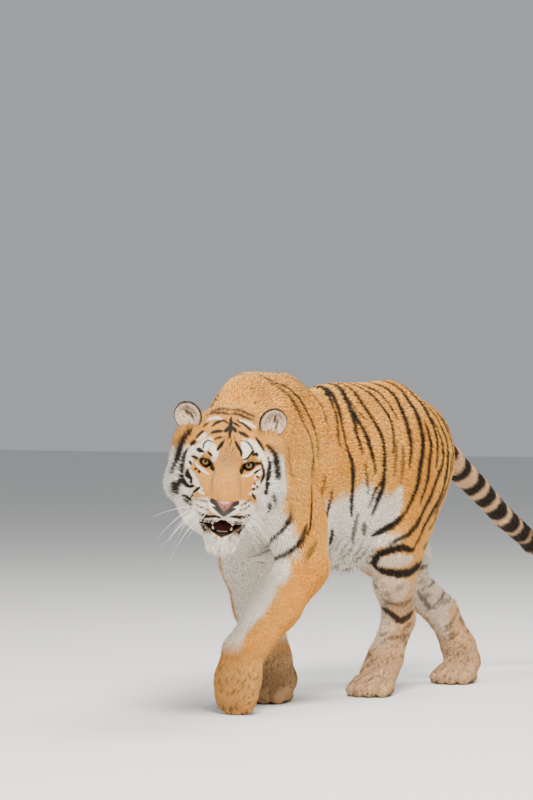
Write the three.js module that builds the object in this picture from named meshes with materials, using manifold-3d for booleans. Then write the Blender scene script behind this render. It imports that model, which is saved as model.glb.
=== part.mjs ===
// A life-size walking tiger, head turned to its left, as one still model.
// It faces -Y, its left side is +X and the floor is Z = 0. All lengths are mm.
import * as THREE from 'three';
import Module from 'manifold-3d';

// ---------- driving sizes ----------
const GAP = 0.3;                 // room left between neighbouring solids
const LEG_BLEND = 30;            // how softly the lengths of a leg run together
const TRUNK_BLEND = 60;
const TOE_BLEND = 7;
const EYEBALL = 18;              // radius
const EYE_HALF_SPACING = 57;
const EAR_WIDTH = 39;            // half sizes of the round ear
const EAR_HEIGHT = 41;
const EAR_DEPTH = 20;
const HEAD_TURN = 36;            // degrees to the tiger's left
const HEAD_NOD = -14;            // nose down
const HEAD_TILT = 5;             // left side down
const EYE_CENTRE = [248, -896, 684];
const FOREPAW = 1.0;             // sizes of the paws that stand flat
const HINDPAW = 1.0;

const JOINTS = {
  left: {
    blade: [70, -342, 830], shoulder: [135, -494, 600], elbow: [150, -411, 392], wrist: [86, -602, 168],
    pawTip: [80, -634, 0], hip: [92, 221, 680], knee: [120, 62, 436], hock: [72, 182, 218],
    ankle: [58, 131, 105], pad: [54, 96], heading: 10, hamstring: [100, 50, 30],
  },
  right: {
    blade: [-70, -363, 868], shoulder: [-116, -409, 590], elbow: [-118, -314, 392], wrist: [-66, -258, 128],
    forePad: [-60, -245], foreHeading: 4, hip: [-92, 238, 680], knee: [-118, 352, 400], hock: [-40, 584, 212],
    ankle: [-4, 622, 105], pad: [14, 606], heading: 4,
    hamstring: [122, 62, 56],
  },
};

// How finely each kind of part is sampled, and how far thinning may move its surface.
const CELL = { trunk: 30, neck: 24, limb: 19, tail: 17, paw: 12, head: 12.5, muzzle: 9, jaw: 10, ear: 7 };
const EVEN = { trunk: 42, neck: 31, limb: 20, tail: 16, paw: 13, head: 22, muzzle: 10, jaw: 12, ear: 6.5 };

// ---------- small vector helpers ----------
const add = (a, b, s = 1) => [a[0] + b[0] * s, a[1] + b[1] * s, a[2] + b[2] * s];
const sub = (a, b) => add(a, b, -1);
const dot = (a, b) => a[0] * b[0] + a[1] * b[1] + a[2] * b[2];
const scale = (a, s) => [a[0] * s, a[1] * s, a[2] * s];
const length = a => Math.sqrt(dot(a, a));
const unit = a => scale(a, 1 / length(a));
const cross = (a, b) => [a[1] * b[2] - a[2] * b[1], a[2] * b[0] - a[0] * b[2], a[0] * b[1] - a[1] * b[0]];
const mix = (a, b, t) => add(scale(a, 1 - t), b, t);
const radians = degrees => degrees * Math.PI / 180;

function rotate(v, axis, degrees) {
  const c = Math.cos(radians(degrees));
  const s = Math.sin(radians(degrees));
  return add(add(scale(v, c), cross(axis, v), s), axis, dot(axis, v) * (1 - c));
}

// A frame is three unit vectors: left, forward, up.
const turned = (frame, row, degrees) => frame.map(v => rotate(v, frame[row], degrees));
const BODY = [[1, 0, 0], [0, -1, 0], [0, 0, 1]];

function headFrame() {
  const yawed = BODY.map(v => rotate(v, [0, 0, 1], HEAD_TURN));
  const nodded = turned(yawed, 0, -HEAD_NOD);
  return turned(nodded, 1, -HEAD_TILT);
}
const HEAD = headFrame();
const inHead = (x, y, z) => [0, 1, 2].map(i => EYE_CENTRE[i] + x * HEAD[0][i] + y * HEAD[1][i] + z * HEAD[2][i]);

// ---------- the form as a field: negative inside, in mm ----------
const FAR = 90;                  // beyond this a part has no say
function egg(centre, radii, blend, frame = BODY, cut = false) {
  const squares = radii.map(r => r * r);
  const reach = Math.max(...radii);
  const distance = p => {
    const d = sub(p, centre);
    if (length(d) > reach + FAR) return FAR;
    const q = [dot(d, frame[0]), dot(d, frame[1]), dot(d, frame[2])];
    const k0 = Math.hypot(q[0] / radii[0], q[1] / radii[1], q[2] / radii[2]);
    const k1 = Math.hypot(q[0] / squares[0], q[1] / squares[1], q[2] / squares[2]);
    return k0 * (k0 - 1) / Math.max(k1, 1e-9);
  };
  return { distance, blend, cut };
}

// A tapering length with an oval section: each end's radii are across and deep.
function bone(a, ra, b, rb, blend, across = BODY[0], cap = 1, cut = false) {
  const span = sub(b, a);
  const long = length(span);
  const u = unit(span);
  const s = unit(add(across, u, -dot(across, u)));
  const n = cross(u, s);
  const middle = mix(a, b, 0.5);
  const reach = long / 2 + Math.max(...ra, ...rb) * Math.max(1, cap);
  const distance = p => {
    if (length(sub(p, middle)) > reach + FAR) return FAR;
    const d = sub(p, a);
    const along = dot(d, u);
    const t = Math.min(1, Math.max(0, along / long));
    const w = ra[0] + (rb[0] - ra[0]) * t;
    const h = ra[1] + (rb[1] - ra[1]) * t;
    const e = Math.sqrt(w * h) * cap;
    const q = [dot(d, s), dot(d, n), along - t * long];
    const k0 = Math.hypot(q[0] / w, q[1] / h, q[2] / e);
    const k1 = Math.hypot(q[0] / (w * w), q[1] / (h * h), q[2] / (e * e));
    return k0 * (k0 - 1) / Math.max(k1, 1e-9);
  };
  return { distance, blend, cut };
}

// stations: [point, [across, deep]] one after the other
function chain(stations, blend, across = BODY[0]) {
  return stations.slice(1).map(([b, rb], i) => bone(stations[i][0], stations[i][1], b, rb, blend, across));
}

function smoothMin(a, b, k) {
  const h = Math.max(k - Math.abs(a - b), 0) / k;
  return Math.min(a, b) - h * h * k / 4;
}

function form(parts) {
  return p => parts.reduce((f, part) => {
    const d = part.distance(p);
    return part.cut ? -smoothMin(-f, d, part.blend) : smoothMin(f, d, part.blend);
  }, FAR);
}

// ---------- the animal ----------
function trunk() {
  const spine = [
    [[0, -627, 600], [100, 120]], [[0, -482, 640], [132, 215]], [[0, -280, 636], [150, 238]],
    [[0, -22, 626], [166, 250]], [[0, 168, 644], [150, 226]], [[0, 290, 702], [136, 172]], [[0, 364, 718], [108, 112]],
  ];
  return [
    ...chain(spine, TRUNK_BLEND),
    bone([0, -482, 850], [60, 70], [0, -314, 862], [58, 64], TRUNK_BLEND),
    bone([0, -90, 816], [60, 60], [0, 205, 842], [66, 60], TRUNK_BLEND),
  ];
}

function neck() {
  const nape = [[[0, -448, 700], [118, 150]], [[84, -622, 690], [118, 132]], [inHead(0, -170, -10), [120, 125]]];
  return chain(nape, TRUNK_BLEND);
}

function shoulder({ blade, shoulder: joint }) {
  const side = Math.sign(joint[0]);
  return [bone(blade, [42, 80], [side * 130, joint[1], joint[2] + 8], [62, 95], 58)];
}

function foreleg({ shoulder: joint, elbow, wrist }) {
  const triceps = add(mix(joint, elbow, 0.55), [0, 45, 10]);
  return [
    bone(joint, [62, 88], elbow, [56, 72], 45),
    egg(triceps, [58, 85, 105], 45),
    ...chain([[elbow, [64, 74]], [mix(elbow, wrist, 0.45), [62, 67]], [wrist, [53, 56]]], LEG_BLEND),
  ];
}

// The hamstring stands behind the thigh bone's line by the leg's own reach.
function hindleg({ hip, knee, hock, ankle, hamstring }) {
  const side = Math.sign(hip[0]);
  const seat = add(hip, [-side * 12, hamstring[0], 0]);
  const calf = add(mix(knee, hock, 0.4), [0, hamstring[1], hamstring[2]]);
  const shin = add(mix(knee, hock, 0.5), [0, -4, 0]);
  return [
    bone(hip, [70, 150], knee, [56, 78], 50),
    bone(seat, [60, 75], calf, [46, 56], 50),
    ...chain([[knee, [57, 66]], [shin, [50, 60]], [hock, [42, 54]]], LEG_BLEND),
    ...chain([[hock, [42, 54]], [ankle, [46, 52]]], 18),
  ];
}

// Four toes side by side: two longer ones in the middle.
function toes(root, tip, across, radii, spread, place) {
  return [-1.5, -0.5, 0.5, 1.5].map(offset => {
    const middle = Math.abs(offset) < 1;
    const from = add(place(root[middle ? 0 : 1]), across, offset * spread[0]);
    const to = add(place(tip[middle ? 0 : 1]), across, offset * spread[1]);
    return bone(from, [radii[0], radii[0]], to, [radii[1], radii[1]], TOE_BLEND, across);
  });
}

function standingPaw(ankle, pad, heading, size) {
  const turn = radians(heading);
  const ahead = [Math.sin(turn), -Math.cos(turn), 0];
  const across = [Math.cos(turn), Math.sin(turn), 0];
  const at = ([forward, height]) => [
    pad[0] + ahead[0] * forward * size, pad[1] + ahead[1] * forward * size, height * size,
  ];
  const wrist = [[ankle, [48 * size, 50 * size]], [at([-12, 62]), [50 * size, 44 * size]], [at([22, 36]), [56 * size, 34 * size]]];
  return [
    ...chain(wrist, 24, across),
    ...toes([[40, 40], [26, 36]], [[88, 19.5], [70, 19.5]], scale(across, size), [25, 21.5], [27, 30], at),
    egg(at([5, 19]), [52 * size, 46 * size, 25 * size], 14, [across, ahead, BODY[2]]),
  ];
}

// The left forepaw hangs from its wrist with its toe tips on the floor.
function hangingPaw({ wrist, pawTip }) {
  const down = unit(sub(pawTip, wrist));
  const reach = length(sub(pawTip, wrist));
  const across = unit(cross(down, [0, 1, 0]));
  const front = cross(down, across);
  const at = ([along, ahead]) => add(add(wrist, down, along * reach), front, ahead);
  const palm = [[wrist, [55, 54]], [at([0.4, 8]), [66, 46]], [at([0.66, 6]), [68, 42]]];
  return [
    ...chain(palm, 24, across),
    ...toes([[0.60, 14], [0.52, 10]], [[0.9, 4], [0.83, 2]], across, [27, 22], [29, 25], at),
  ];
}

function tail() {
  const stations = [
    [[0, 325, 776], [60, 62]], [[0, 437, 732], [49, 51]], [[5, 548, 674], [41, 42]], [[8, 690, 592], [36, 36]],
    [[14, 838, 495], [33, 33]], [[28, 985, 410], [32, 32]], [[42, 1090, 362], [31, 31]], [[52, 1185, 350], [29, 29]],
    [[60, 1262, 374], [23, 23]],
  ];
  return chain(stations, 10);
}

function head() {
  const at = (c, r, blend) => egg(inHead(...c), r, blend, HEAD);
  const run = (a, ra, b, rb, blend) => bone(inHead(...a), ra, inHead(...b), rb, blend, HEAD[0]);
  const half = s => [
    at([s * 70, -48, -34], [60, 74, 62], 30),                                  // cheekbone
    run([s * 106, -98, 30], [40, 48], [s * 112, -82, -82], [46, 58], 36),      // ruff
    run([s * 112, -82, -82], [46, 58], [s * 64, -60, -146], [48, 48], 36),
    at([s * 86, -36, -78], [48, 62, 58], 30),                                  // jowl
    at([s * 44, -12, 28], [34, 28, 19], 14),                                   // brow
    at([s * 62, 12, -36], [32, 32, 26], 20),                                   // below the eye
    at([s * 46, 36, -76], [42, 58, 44], 24),                                   // side of the muzzle
    at([s * 40, 84, -95], [42, 42, 35], 14),                                   // whisker pad
  ];
  return [
    at([0, -108, 8], [102, 112, 90], 40),
    at([0, -50, 34], [80, 60, 52], 30),
    ...half(-1), ...half(1),
    run([0, -25, 8], [38, 34], [0, 106, -65], [33, 28], 22),                   // bridge of the nose
    run([0, -10, -66], [66, 56], [0, 84, -84], [50, 38], 25),                  // muzzle
  ];
}

function lowerJaw() {
  return [
    bone(inHead(0, -50, -124), [74, 62], inHead(0, 60, -164), [52, 38], 25, HEAD[0]),
    egg(inHead(0, 78, -184), [42, 30, 31], 16, HEAD),
  ];
}

function mouthOpening() {
  return [
    bone(inHead(0, 150, -143), [90, 19], inHead(0, 42, -128), [72, 6], 8, HEAD[0], 0.4, true),
    bone(inHead(0, 110, -143), [36, 20], inHead(0, 20, -130), [34, 18], 8, HEAD[0], 1, true),
  ];
}

const earFrame = side => turned(turned(HEAD, 1, -side * 18), 2, side * 14);
function ear(side) {
  const frame = earFrame(side);
  const centre = inHead(side * 113, -112, 95);
  const hollow = add(add(centre, frame[1], 16), frame[2], 3);
  return [
    egg(centre, [EAR_WIDTH, EAR_DEPTH, EAR_HEIGHT], 14, frame),
    egg(hollow, [EAR_WIDTH - 8, EAR_DEPTH, EAR_HEIGHT - 8], 6, frame, true),
  ];
}

const eyeFrame = side => turned(turned(HEAD, 1, side * 14), 2, -side * 12);
const eyeCentre = side => inHead(side * EYE_HALF_SPACING, -13, 0);
const lidOpening = side => ({
  centre: inHead(side * EYE_HALF_SPACING, 2, 0), radii: [17, 24, 10], frame: eyeFrame(side),
});

// ---------- from field to closed mesh ----------
// One vertex for each cell that the surface crosses, joined across the edges that it crosses.
function sample(field, low, cell, counts) {
  const [nx, ny, nz] = counts;
  const values = new Float64Array(nx * ny * nz);
  let at = 0;
  for (let k = 0; k < nz; k++) {
    for (let j = 0; j < ny; j++) {
      for (let i = 0; i < nx; i++) {
        values[at++] = field([low[0] + i * cell, low[1] + j * cell, low[2] + k * cell]) || 1e-6;
      }
    }
  }
  return values;
}

// Flips the weakest corner of every face whose corners alternate, so that the surface stays in one sheet.
function settleFaces(values, counts) {
  const step = [1, counts[0], counts[0] * counts[1]];
  let changed = true;
  for (let round = 0; changed && round < 50; round++) {
    changed = false;
    for (let at = 0; at < values.length; at++) {
      for (const [u, v] of [[0, 1], [1, 2], [2, 0]]) {
        const corners = [at, at + step[u], at + step[u] + step[v], at + step[v]];
        if (corners[2] >= values.length) continue;
        const signs = corners.map(c => values[c] < 0);
        if (signs[0] !== signs[2] || signs[1] !== signs[3] || signs[0] === signs[1]) continue;
        const weakest = corners.reduce((a, b) => (Math.abs(values[a]) < Math.abs(values[b]) ? a : b));
        values[weakest] = -values[weakest];
        changed = true;
      }
    }
  }
}

function cellPoint(values, base, step, origin, cell) {
  const sum = [0, 0, 0];
  let crossings = 0;
  for (let corner = 0; corner < 8; corner++) {
    const offset = [corner & 1, (corner >> 1) & 1, (corner >> 2) & 1];
    const from = base + dot(offset, step);
    for (let d = 0; d < 3; d++) {
      if (offset[d]) continue;
      const a = values[from];
      const b = values[from + step[d]];
      if ((a < 0) === (b < 0)) continue;
      const crossing = [...offset];
      crossing[d] += a / (a - b);
      crossings += 1;
      for (let c = 0; c < 3; c++) sum[c] += crossing[c];
    }
  }
  return crossings ? add(origin, sum, cell / crossings) : null;
}

// Moves a point along the field's slope until it lies on the surface.
function settle(field, point, cell) {
  let p = point;
  for (let turn = 0; turn < 3; turn++) {
    const value = field(p);
    const slope = [0, 1, 2].map(d => {
      const q = [...p];
      q[d] += 0.5;
      return (field(q) - value) * 2;
    });
    const steep = Math.max(dot(slope, slope), 0.2);
    const move = Math.max(-0.45 * cell, Math.min(0.45 * cell, -value / steep));
    p = add(p, slope, move);
  }
  return length(sub(p, point)) < cell * 0.6 ? p : point;
}

function netMesh(field, low, high, cell) {
  const counts = [0, 1, 2].map(i => Math.ceil((high[i] - low[i]) / cell) + 2);
  const step = [1, counts[0], counts[0] * counts[1]];
  const edge = p => Math.max(...[0, 1, 2].map(i => Math.max(low[i] + cell * 0.5 - p[i], p[i] - high[i] + cell * 0.5)));
  const closed = p => Math.max(field(p), edge(p));
  const values = sample(closed, low, cell, counts);
  settleFaces(values, counts);
  const points = [];
  const index = new Int32Array(values.length).fill(-1);
  for (let k = 0; k < counts[2] - 1; k++) {
    for (let j = 0; j < counts[1] - 1; j++) {
      for (let i = 0; i < counts[0] - 1; i++) {
        const base = i + j * step[1] + k * step[2];
        const origin = [low[0] + i * cell, low[1] + j * cell, low[2] + k * cell];
        const p = cellPoint(values, base, step, origin, cell);
        if (!p) continue;
        index[base] = points.length;
        points.push(edge(p) > -cell ? p : settle(field, p, cell));
      }
    }
  }
  return { points, faces: netFaces(values, index, counts, step) };
}

function netFaces(values, index, counts, step) {
  const faces = [];
  for (let k = 0; k < counts[2] - 1; k++) {
    for (let j = 0; j < counts[1] - 1; j++) {
      for (let i = 0; i < counts[0] - 1; i++) {
        const place = [i, j, k];
        const base = dot(place, step);
        for (let d = 0; d < 3; d++) {
          if (place[(d + 1) % 3] === 0 || place[(d + 2) % 3] === 0) continue;
          const inside = values[base] < 0;
          if (inside === (values[base + step[d]] < 0)) continue;
          const u = step[(d + 1) % 3];
          const v = step[(d + 2) % 3];
          const ring = [base - u - v, base - v, base, base - u].map(c => index[c]);
          if (!inside) ring.reverse();
          faces.push([ring[0], ring[1], ring[2]], [ring[0], ring[2], ring[3]]);
        }
      }
    }
  }
  return faces;
}

// ---------- fewer triangles where the form is even ----------
function addPlane(quadric, n, w) {
  const plane = [n[0], n[1], n[2], w];
  let at = 0;
  for (let i = 0; i < 4; i++) {
    for (let j = i; j < 4; j++) quadric[at++] += plane[i] * plane[j];
  }
}

// The sum of squared distances from a point to the planes that a quadric holds.
function strain(quadric, p) {
  const v = [p[0], p[1], p[2], 1];
  let at = 0;
  let sum = 0;
  for (let i = 0; i < 4; i++) {
    for (let j = i; j < 4; j++) sum += quadric[at++] * v[i] * v[j] * (i === j ? 1 : 2);
  }
  return Math.max(sum, 0);
}

const normalOf = (a, b, c) => cross(sub(b, a), sub(c, a));

function vertexQuadrics(points, faces) {
  const quadrics = points.map(() => new Float64Array(10));
  for (const face of faces) {
    const [a, b, c] = face.map(i => points[i]);
    const n = normalOf(a, b, c);
    const size = length(n);
    if (size < 1e-9) continue;
    const flat = scale(n, 1 / size);
    for (const i of face) addPlane(quadrics[i], flat, -dot(flat, a));
  }
  return quadrics;
}

function facesAround(points, faces) {
  const around = points.map(() => []);
  for (const face of faces) face.forEach(i => around[i].push(face));
  return around;
}

const ringOf = (vertex, around) => new Set(around[vertex].flat().filter(i => i !== vertex));

// True if moving one vertex onto its neighbour keeps the sheet whole and unfolded.
function canMove(from, to, points, around) {
  const ring = ringOf(from, around);
  const shared = [...ringOf(to, around)].filter(i => ring.has(i));
  if (shared.length !== 2) return false;
  return around[from].every(face => {
    if (face.includes(to)) return true;
    const old = normalOf(...face.map(i => points[i]));
    const now = normalOf(...face.map(i => points[i === from ? to : i]));
    return dot(old, now) > 0.35 * length(old) * length(now) && length(now) > 1;
  });
}

function thinRound(points, faces, quadrics, limit) {
  const around = facesAround(points, faces);
  const busy = new Uint8Array(points.length);
  const goes = points.map((_, i) => i);
  for (let from = 0; from < points.length; from++) {
    const ring = [...ringOf(from, around)];
    if (!ring.length || busy[from] || ring.some(i => busy[i])) continue;
    const choices = ring.map(to => [strain(quadrics[from], points[to]), to])
      .filter(([cost]) => cost < limit)
      .sort((a, b) => a[0] - b[0]);
    const choice = choices.find(([, to]) => canMove(from, to, points, around));
    if (!choice) continue;
    const to = choice[1];
    goes[from] = to;
    quadrics[from].forEach((value, i) => { quadrics[to][i] += value; });
    for (const i of [from, ...ring]) busy[i] = 1;
  }
  return faces.map(face => face.map(i => goes[i])).filter(face => new Set(face).size === 3);
}

function thinned({ points, faces }, tolerance) {
  const quadrics = vertexQuadrics(points, faces);
  let left = faces;
  for (const share of [0.03, 0.06, 0.1, 0.15, 0.2, 0.3, 0.4, 0.5, 0.7, 0.85, 1, 1, 1, 1, 1, 1, 1]) {
    left = thinRound(points, left, quadrics, (share * tolerance) ** 2);
  }
  const used = [...new Set(left.flat())];
  const number = new Map(used.map((old, i) => [old, i]));
  return { points: used.map(i => points[i]), faces: left.map(face => face.map(i => number.get(i))) };
}

// ---------- solids ----------
const wasm = await Module();
wasm.setup();

function solidFrom(points, faces) {
  const mesh = new wasm.Mesh({
    numProp: 3,
    vertProperties: new Float32Array(points.flat()),
    triVerts: new Uint32Array(faces.flat()),
  });
  mesh.merge();
  return new wasm.Manifold(mesh);
}

function solidFromGeometry(geometry) {
  const place = geometry.getAttribute('position');
  const seen = new Map();
  const points = [];
  const renumbered = [];
  for (let i = 0; i < place.count; i++) {
    const p = [place.getX(i), place.getY(i), place.getZ(i)].map(v => Math.round(v * 1e4) / 1e4);
    const key = p.join();
    if (!seen.has(key)) {
      seen.set(key, points.length);
      points.push(p);
    }
    renumbered.push(seen.get(key));
  }
  const faces = [];
  for (let i = 0; i < geometry.index.count; i += 3) {
    const face = [0, 1, 2].map(j => renumbered[geometry.index.getX(i + j)]);
    if (new Set(face).size === 3) faces.push(face);
  }
  return solidFrom(points, faces);
}

// A solid's own axes have to be right-handed: left, forward, down.
const rightHanded = frame => [frame[0], frame[1], cross(frame[0], frame[1])];
const placing = (centre, frame) => new THREE.Matrix4()
  .makeBasis(...frame.map(v => new THREE.Vector3(...v)))
  .setPosition(...centre);

// A block given by its low and high corners along a frame's left, forward and up.
function block({ low, high, origin = [0, 0, 0], frame = BODY }, grow = 0) {
  const size = sub(high, low).map(v => v + 2 * grow);
  const centre = mix(low, high, 0.5);
  const middle = frame.reduce((at, axis, i) => add(at, axis, centre[i]), origin);
  const geometry = new THREE.BoxGeometry(...size);
  return solidFromGeometry(geometry.applyMatrix4(placing(middle, rightHanded(frame))));
}

function ball({ centre, radii, frame = BODY }, grow = 0, around = 12, up = 8) {
  const geometry = new THREE.SphereGeometry(1, around, up).scale(...radii.map(r => r + grow));
  return solidFromGeometry(geometry.applyMatrix4(placing(centre, rightHanded(frame))));
}

// The one body that holds most of the volume.
function mainBody(solid) {
  return solid.decompose().reduce((a, b) => (a.volume() > b.volume() ? a : b));
}

// ---------- where the animal is parted ----------
const headBlock = (low, high) => ({ low, high, origin: EYE_CENTRE, frame: HEAD });
const bodyBlock = (x, y, z) => ({ low: [x[0], -y[1], z[0]], high: [x[1], -y[0], z[1]] });
const earBlock = side => ({
  low: [-60, -34, -16], high: [60, 40, 60], origin: inHead(side * 113, -112, 95), frame: earFrame(side),
});

const BLOCKS = {
  ear_left: earBlock(1),
  ear_right: earBlock(-1),
  jaw: headBlock([-64, -30, -260], [64, 160, -130]),
  muzzle: headBlock([-120, 34, -170], [120, 200, 60]),
  head: headBlock([-240, -152, -260], [240, 200, 200]),
  neck: headBlock([-230, -312, -190], [230, -152, 200]),
  forearm_left: bodyBlock([13, 260], [-790, -280], [168, 392]),
  forearm_right: bodyBlock([-260, 10], [-560, -190], [112, 392]),
  forepaw_left: bodyBlock([11, 260], [-850, -450], [0, 168]),
  forepaw_right: bodyBlock([-260, 10], [-560, -110], [0, 112]),
  shin_left: bodyBlock([0, 260], [-90, 310], [200, 425]),
  shin_right: bodyBlock([-260, 40], [210, 740], [200, 425]),
  hindfoot_left: bodyBlock([-30, 200], [0, 280], [84, 200]),
  hindfoot_right: bodyBlock([-160, 110], [480, 740], [84, 200]),
  hindpaw_left: bodyBlock([-60, 200], [-60, 280], [0, 84]),
  hindpaw_right: bodyBlock([-120, 160], [440, 740], [0, 84]),
  tail_root: {
    low: [-80, 0, -64], high: [80, 330, 80], origin: [0, 434, 732],
    frame: [BODY[0], unit([0, 0.84, -0.54]), unit([0, 0.54, 0.84])],
  },
  tail_middle: bodyBlock([-90, 120], [620, 985], [280, 660]),
  tail_tip: bodyBlock([-90, 160], [985, 1340], [250, 500]),
  shoulder_left: bodyBlock([66, 260], [-625, -225], [392, 830]),
  shoulder_right: bodyBlock([-260, -66], [-625, -200], [392, 860]),
  thigh_left: bodyBlock([58, 260], [-100, 390], [425, 790]),
  thigh_right: bodyBlock([-260, -58], [-90, 460], [425, 790]),
  chest: bodyBlock([-260, 260], [-840, -215], [250, 1000]),
  belly: bodyBlock([-260, 260], [-215, 110], [250, 1000]),
  rump: bodyBlock([-260, 260], [110, 470], [250, 1000]),
};

const COAT = { orange: 0xc98a4b, pale: 0xd9c8ad, brown: 0xb08f6c, ringed: 0xbd9468 };
function kindOf(name) {
  if (/^ear/.test(name)) return 'ear';
  if (/paw/.test(name)) return 'paw';
  if (/forearm|shin|foot/.test(name)) return 'limb';
  if (/tail/.test(name)) return 'tail';
  return name in CELL ? name : 'trunk';
}

function animal() {
  const { left, right } = JOINTS;
  const body = [...trunk(), ...neck(), ...shoulder(left), ...shoulder(right), ...foreleg(left), ...foreleg(right)];
  const legs = [
    ...hangingPaw(left),
    ...standingPaw(right.wrist, right.forePad, right.foreHeading, FOREPAW),
    ...hindleg(left), ...standingPaw(left.ankle, left.pad, left.heading, HINDPAW),
    ...hindleg(right), ...standingPaw(right.ankle, right.pad, right.heading, HINDPAW),
  ];
  const face = [...head(), ...lowerJaw(), ...mouthOpening(), ...ear(-1), ...ear(1)];
  return form([...body, ...legs, ...tail(), ...face]);
}

function blockBounds({ low, high, origin = [0, 0, 0], frame = BODY }, margin) {
  const corners = [0, 1, 2, 3, 4, 5, 6, 7].map(n => frame.reduce(
    (at, axis, i) => add(at, axis, (n >> i) & 1 ? high[i] : low[i]), origin));
  return [
    [0, 1, 2].map(i => Math.min(...corners.map(c => c[i])) - margin),
    [0, 1, 2].map(i => Math.max(...corners.map(c => c[i])) + margin),
  ];
}

// The small bodies set into the head.
const SET_IN = {
  eye_left: { centre: eyeCentre(1), radii: [EYEBALL, EYEBALL, EYEBALL] },
  eye_right: { centre: eyeCentre(-1), radii: [EYEBALL, EYEBALL, EYEBALL] },
  nose: { centre: inHead(0, 119, -79), radii: [36, 20, 21], frame: HEAD },
  tongue: { centre: inHead(0, 62, -142), radii: [24, 40, 11], frame: turned(HEAD, 0, 12) },
};

function buildSolids() {
  const field = animal();
  const solids = {};
  const taken = [];
  for (const [name, shape] of Object.entries(SET_IN)) {
    solids[name] = name === 'nose' ? withNostrils(ball(shape)) : ball(shape);
    taken.push(ball(shape, GAP));
  }
  const lids = [ball(lidOpening(1), 0, 16, 8), ball(lidOpening(-1), 0, 16, 8)];
  for (const [name, shape] of Object.entries(BLOCKS)) {
    const kind = kindOf(name);
    const [low, high] = blockBounds(shape, CELL[kind] * 1.2);
    const { points, faces } = thinned(netMesh(field, low, high, CELL[kind]), EVEN[kind]);
    const whole = solidFrom(points, faces).intersect(block(shape));
    const cuts = name === 'head' ? [...taken, ...lids] : taken;
    solids[name] = mainBody(cuts.reduce((rest, other) => rest.subtract(other), whole));
    taken.push(block(shape, GAP));
  }
  return solids;
}

function withNostrils(nose) {
  return [-1, 1].reduce((rest, side) => {
    const hole = { centre: inHead(side * 19, 137, -80), radii: [9, 9, 6], frame: turned(HEAD, 1, side * 25) };
    return rest.subtract(ball(hole, 0, 10, 6));
  }, nose);
}

// ---------- to three.js ----------
function toMesh(name, solid, colour, roughness) {
  const mesh = solid.getMesh();
  const geometry = new THREE.BufferGeometry();
  const position = new Float32Array(mesh.numVert * 3);
  for (let i = 0; i < mesh.numVert; i++) {
    for (let j = 0; j < 3; j++) position[i * 3 + j] = mesh.vertProperties[i * mesh.numProp + j];
  }
  geometry.setAttribute('position', new THREE.BufferAttribute(position, 3));
  geometry.setIndex(new THREE.BufferAttribute(new Uint32Array(mesh.triVerts), 1));
  geometry.computeVertexNormals();
  const material = new THREE.MeshStandardMaterial({ color: colour, roughness, metalness: 0 });
  const result = new THREE.Mesh(geometry, material);
  result.name = name;
  return result;
}

function lookOf(name) {
  if (/eye/.test(name)) return [0xb98a3c, 0.1];
  if (name === 'nose') return [0xb4705c, 0.5];
  if (name === 'tongue') return [0x8c4038, 0.4];
  if (/^ear/.test(name)) return [0xb9b0a2, 0.9];
  if (name === 'jaw') return [0xdcd6ca, 0.9];
  if (/paw|foot/.test(name)) return [COAT.brown, 0.9];
  if (/tail/.test(name)) return [COAT.ringed, 0.9];
  return [COAT.orange, 0.9];
}

const tiger = new THREE.Group();
tiger.name = 'tiger';
const solids = buildSolids();
for (const [name, solid] of Object.entries(solids)) tiger.add(toMesh(name, solid, ...lookOf(name)));

// The origin is the middle of the bounding box's underside.
const bounds = new THREE.Box3().setFromObject(tiger);
const middle = bounds.getCenter(new THREE.Vector3());
for (const mesh of tiger.children) mesh.geometry.translate(-middle.x, -middle.y, -bounds.min.z);

export default tiger;
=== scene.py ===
import math
import bpy
import numpy as np
from mathutils import Matrix, Vector


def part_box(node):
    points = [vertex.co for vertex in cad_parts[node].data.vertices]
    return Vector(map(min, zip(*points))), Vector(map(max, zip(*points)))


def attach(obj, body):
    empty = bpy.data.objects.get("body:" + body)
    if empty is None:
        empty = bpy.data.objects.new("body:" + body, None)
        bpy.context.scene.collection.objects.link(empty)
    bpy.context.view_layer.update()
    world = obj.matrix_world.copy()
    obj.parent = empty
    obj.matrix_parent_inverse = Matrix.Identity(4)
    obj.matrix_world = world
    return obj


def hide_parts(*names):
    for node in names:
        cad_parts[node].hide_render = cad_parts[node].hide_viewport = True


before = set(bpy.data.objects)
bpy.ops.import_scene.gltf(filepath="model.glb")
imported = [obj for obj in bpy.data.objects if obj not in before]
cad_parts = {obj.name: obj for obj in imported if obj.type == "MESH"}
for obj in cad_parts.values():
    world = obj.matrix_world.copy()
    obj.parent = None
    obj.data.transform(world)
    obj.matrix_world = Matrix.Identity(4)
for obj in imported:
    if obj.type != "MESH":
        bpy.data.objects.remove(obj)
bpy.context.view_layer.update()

# ---------- the hide ----------
# One unbroken skin over the whole body, from the same lengths and lumps as the solids, but lying
# under them by the depth of the coat there. The face is drawn finer, with lids, lips and pads.
# All lengths are mm in the animal's own frame: it faces -Y, its left is +X and the floor is Z = 0.
LEG_BLEND = 30           # how softly the lengths of a leg run together
TRUNK_BLEND = 60
TOE_BLEND = 7
EYEBALL = 18             # radius
EYE_HALF_SPACING = 57
EAR_RADII = (39, 20, 41)
EAR_CENTRE = (113, -112, 95)
EAR_WALL = 8
HEAD_TURN = 36           # degrees to the animal's left
HEAD_NOD = -14           # nose down
HEAD_TILT = 5            # left side down
EYE_CENTRE = np.array([248.0, -896, 684])
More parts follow.
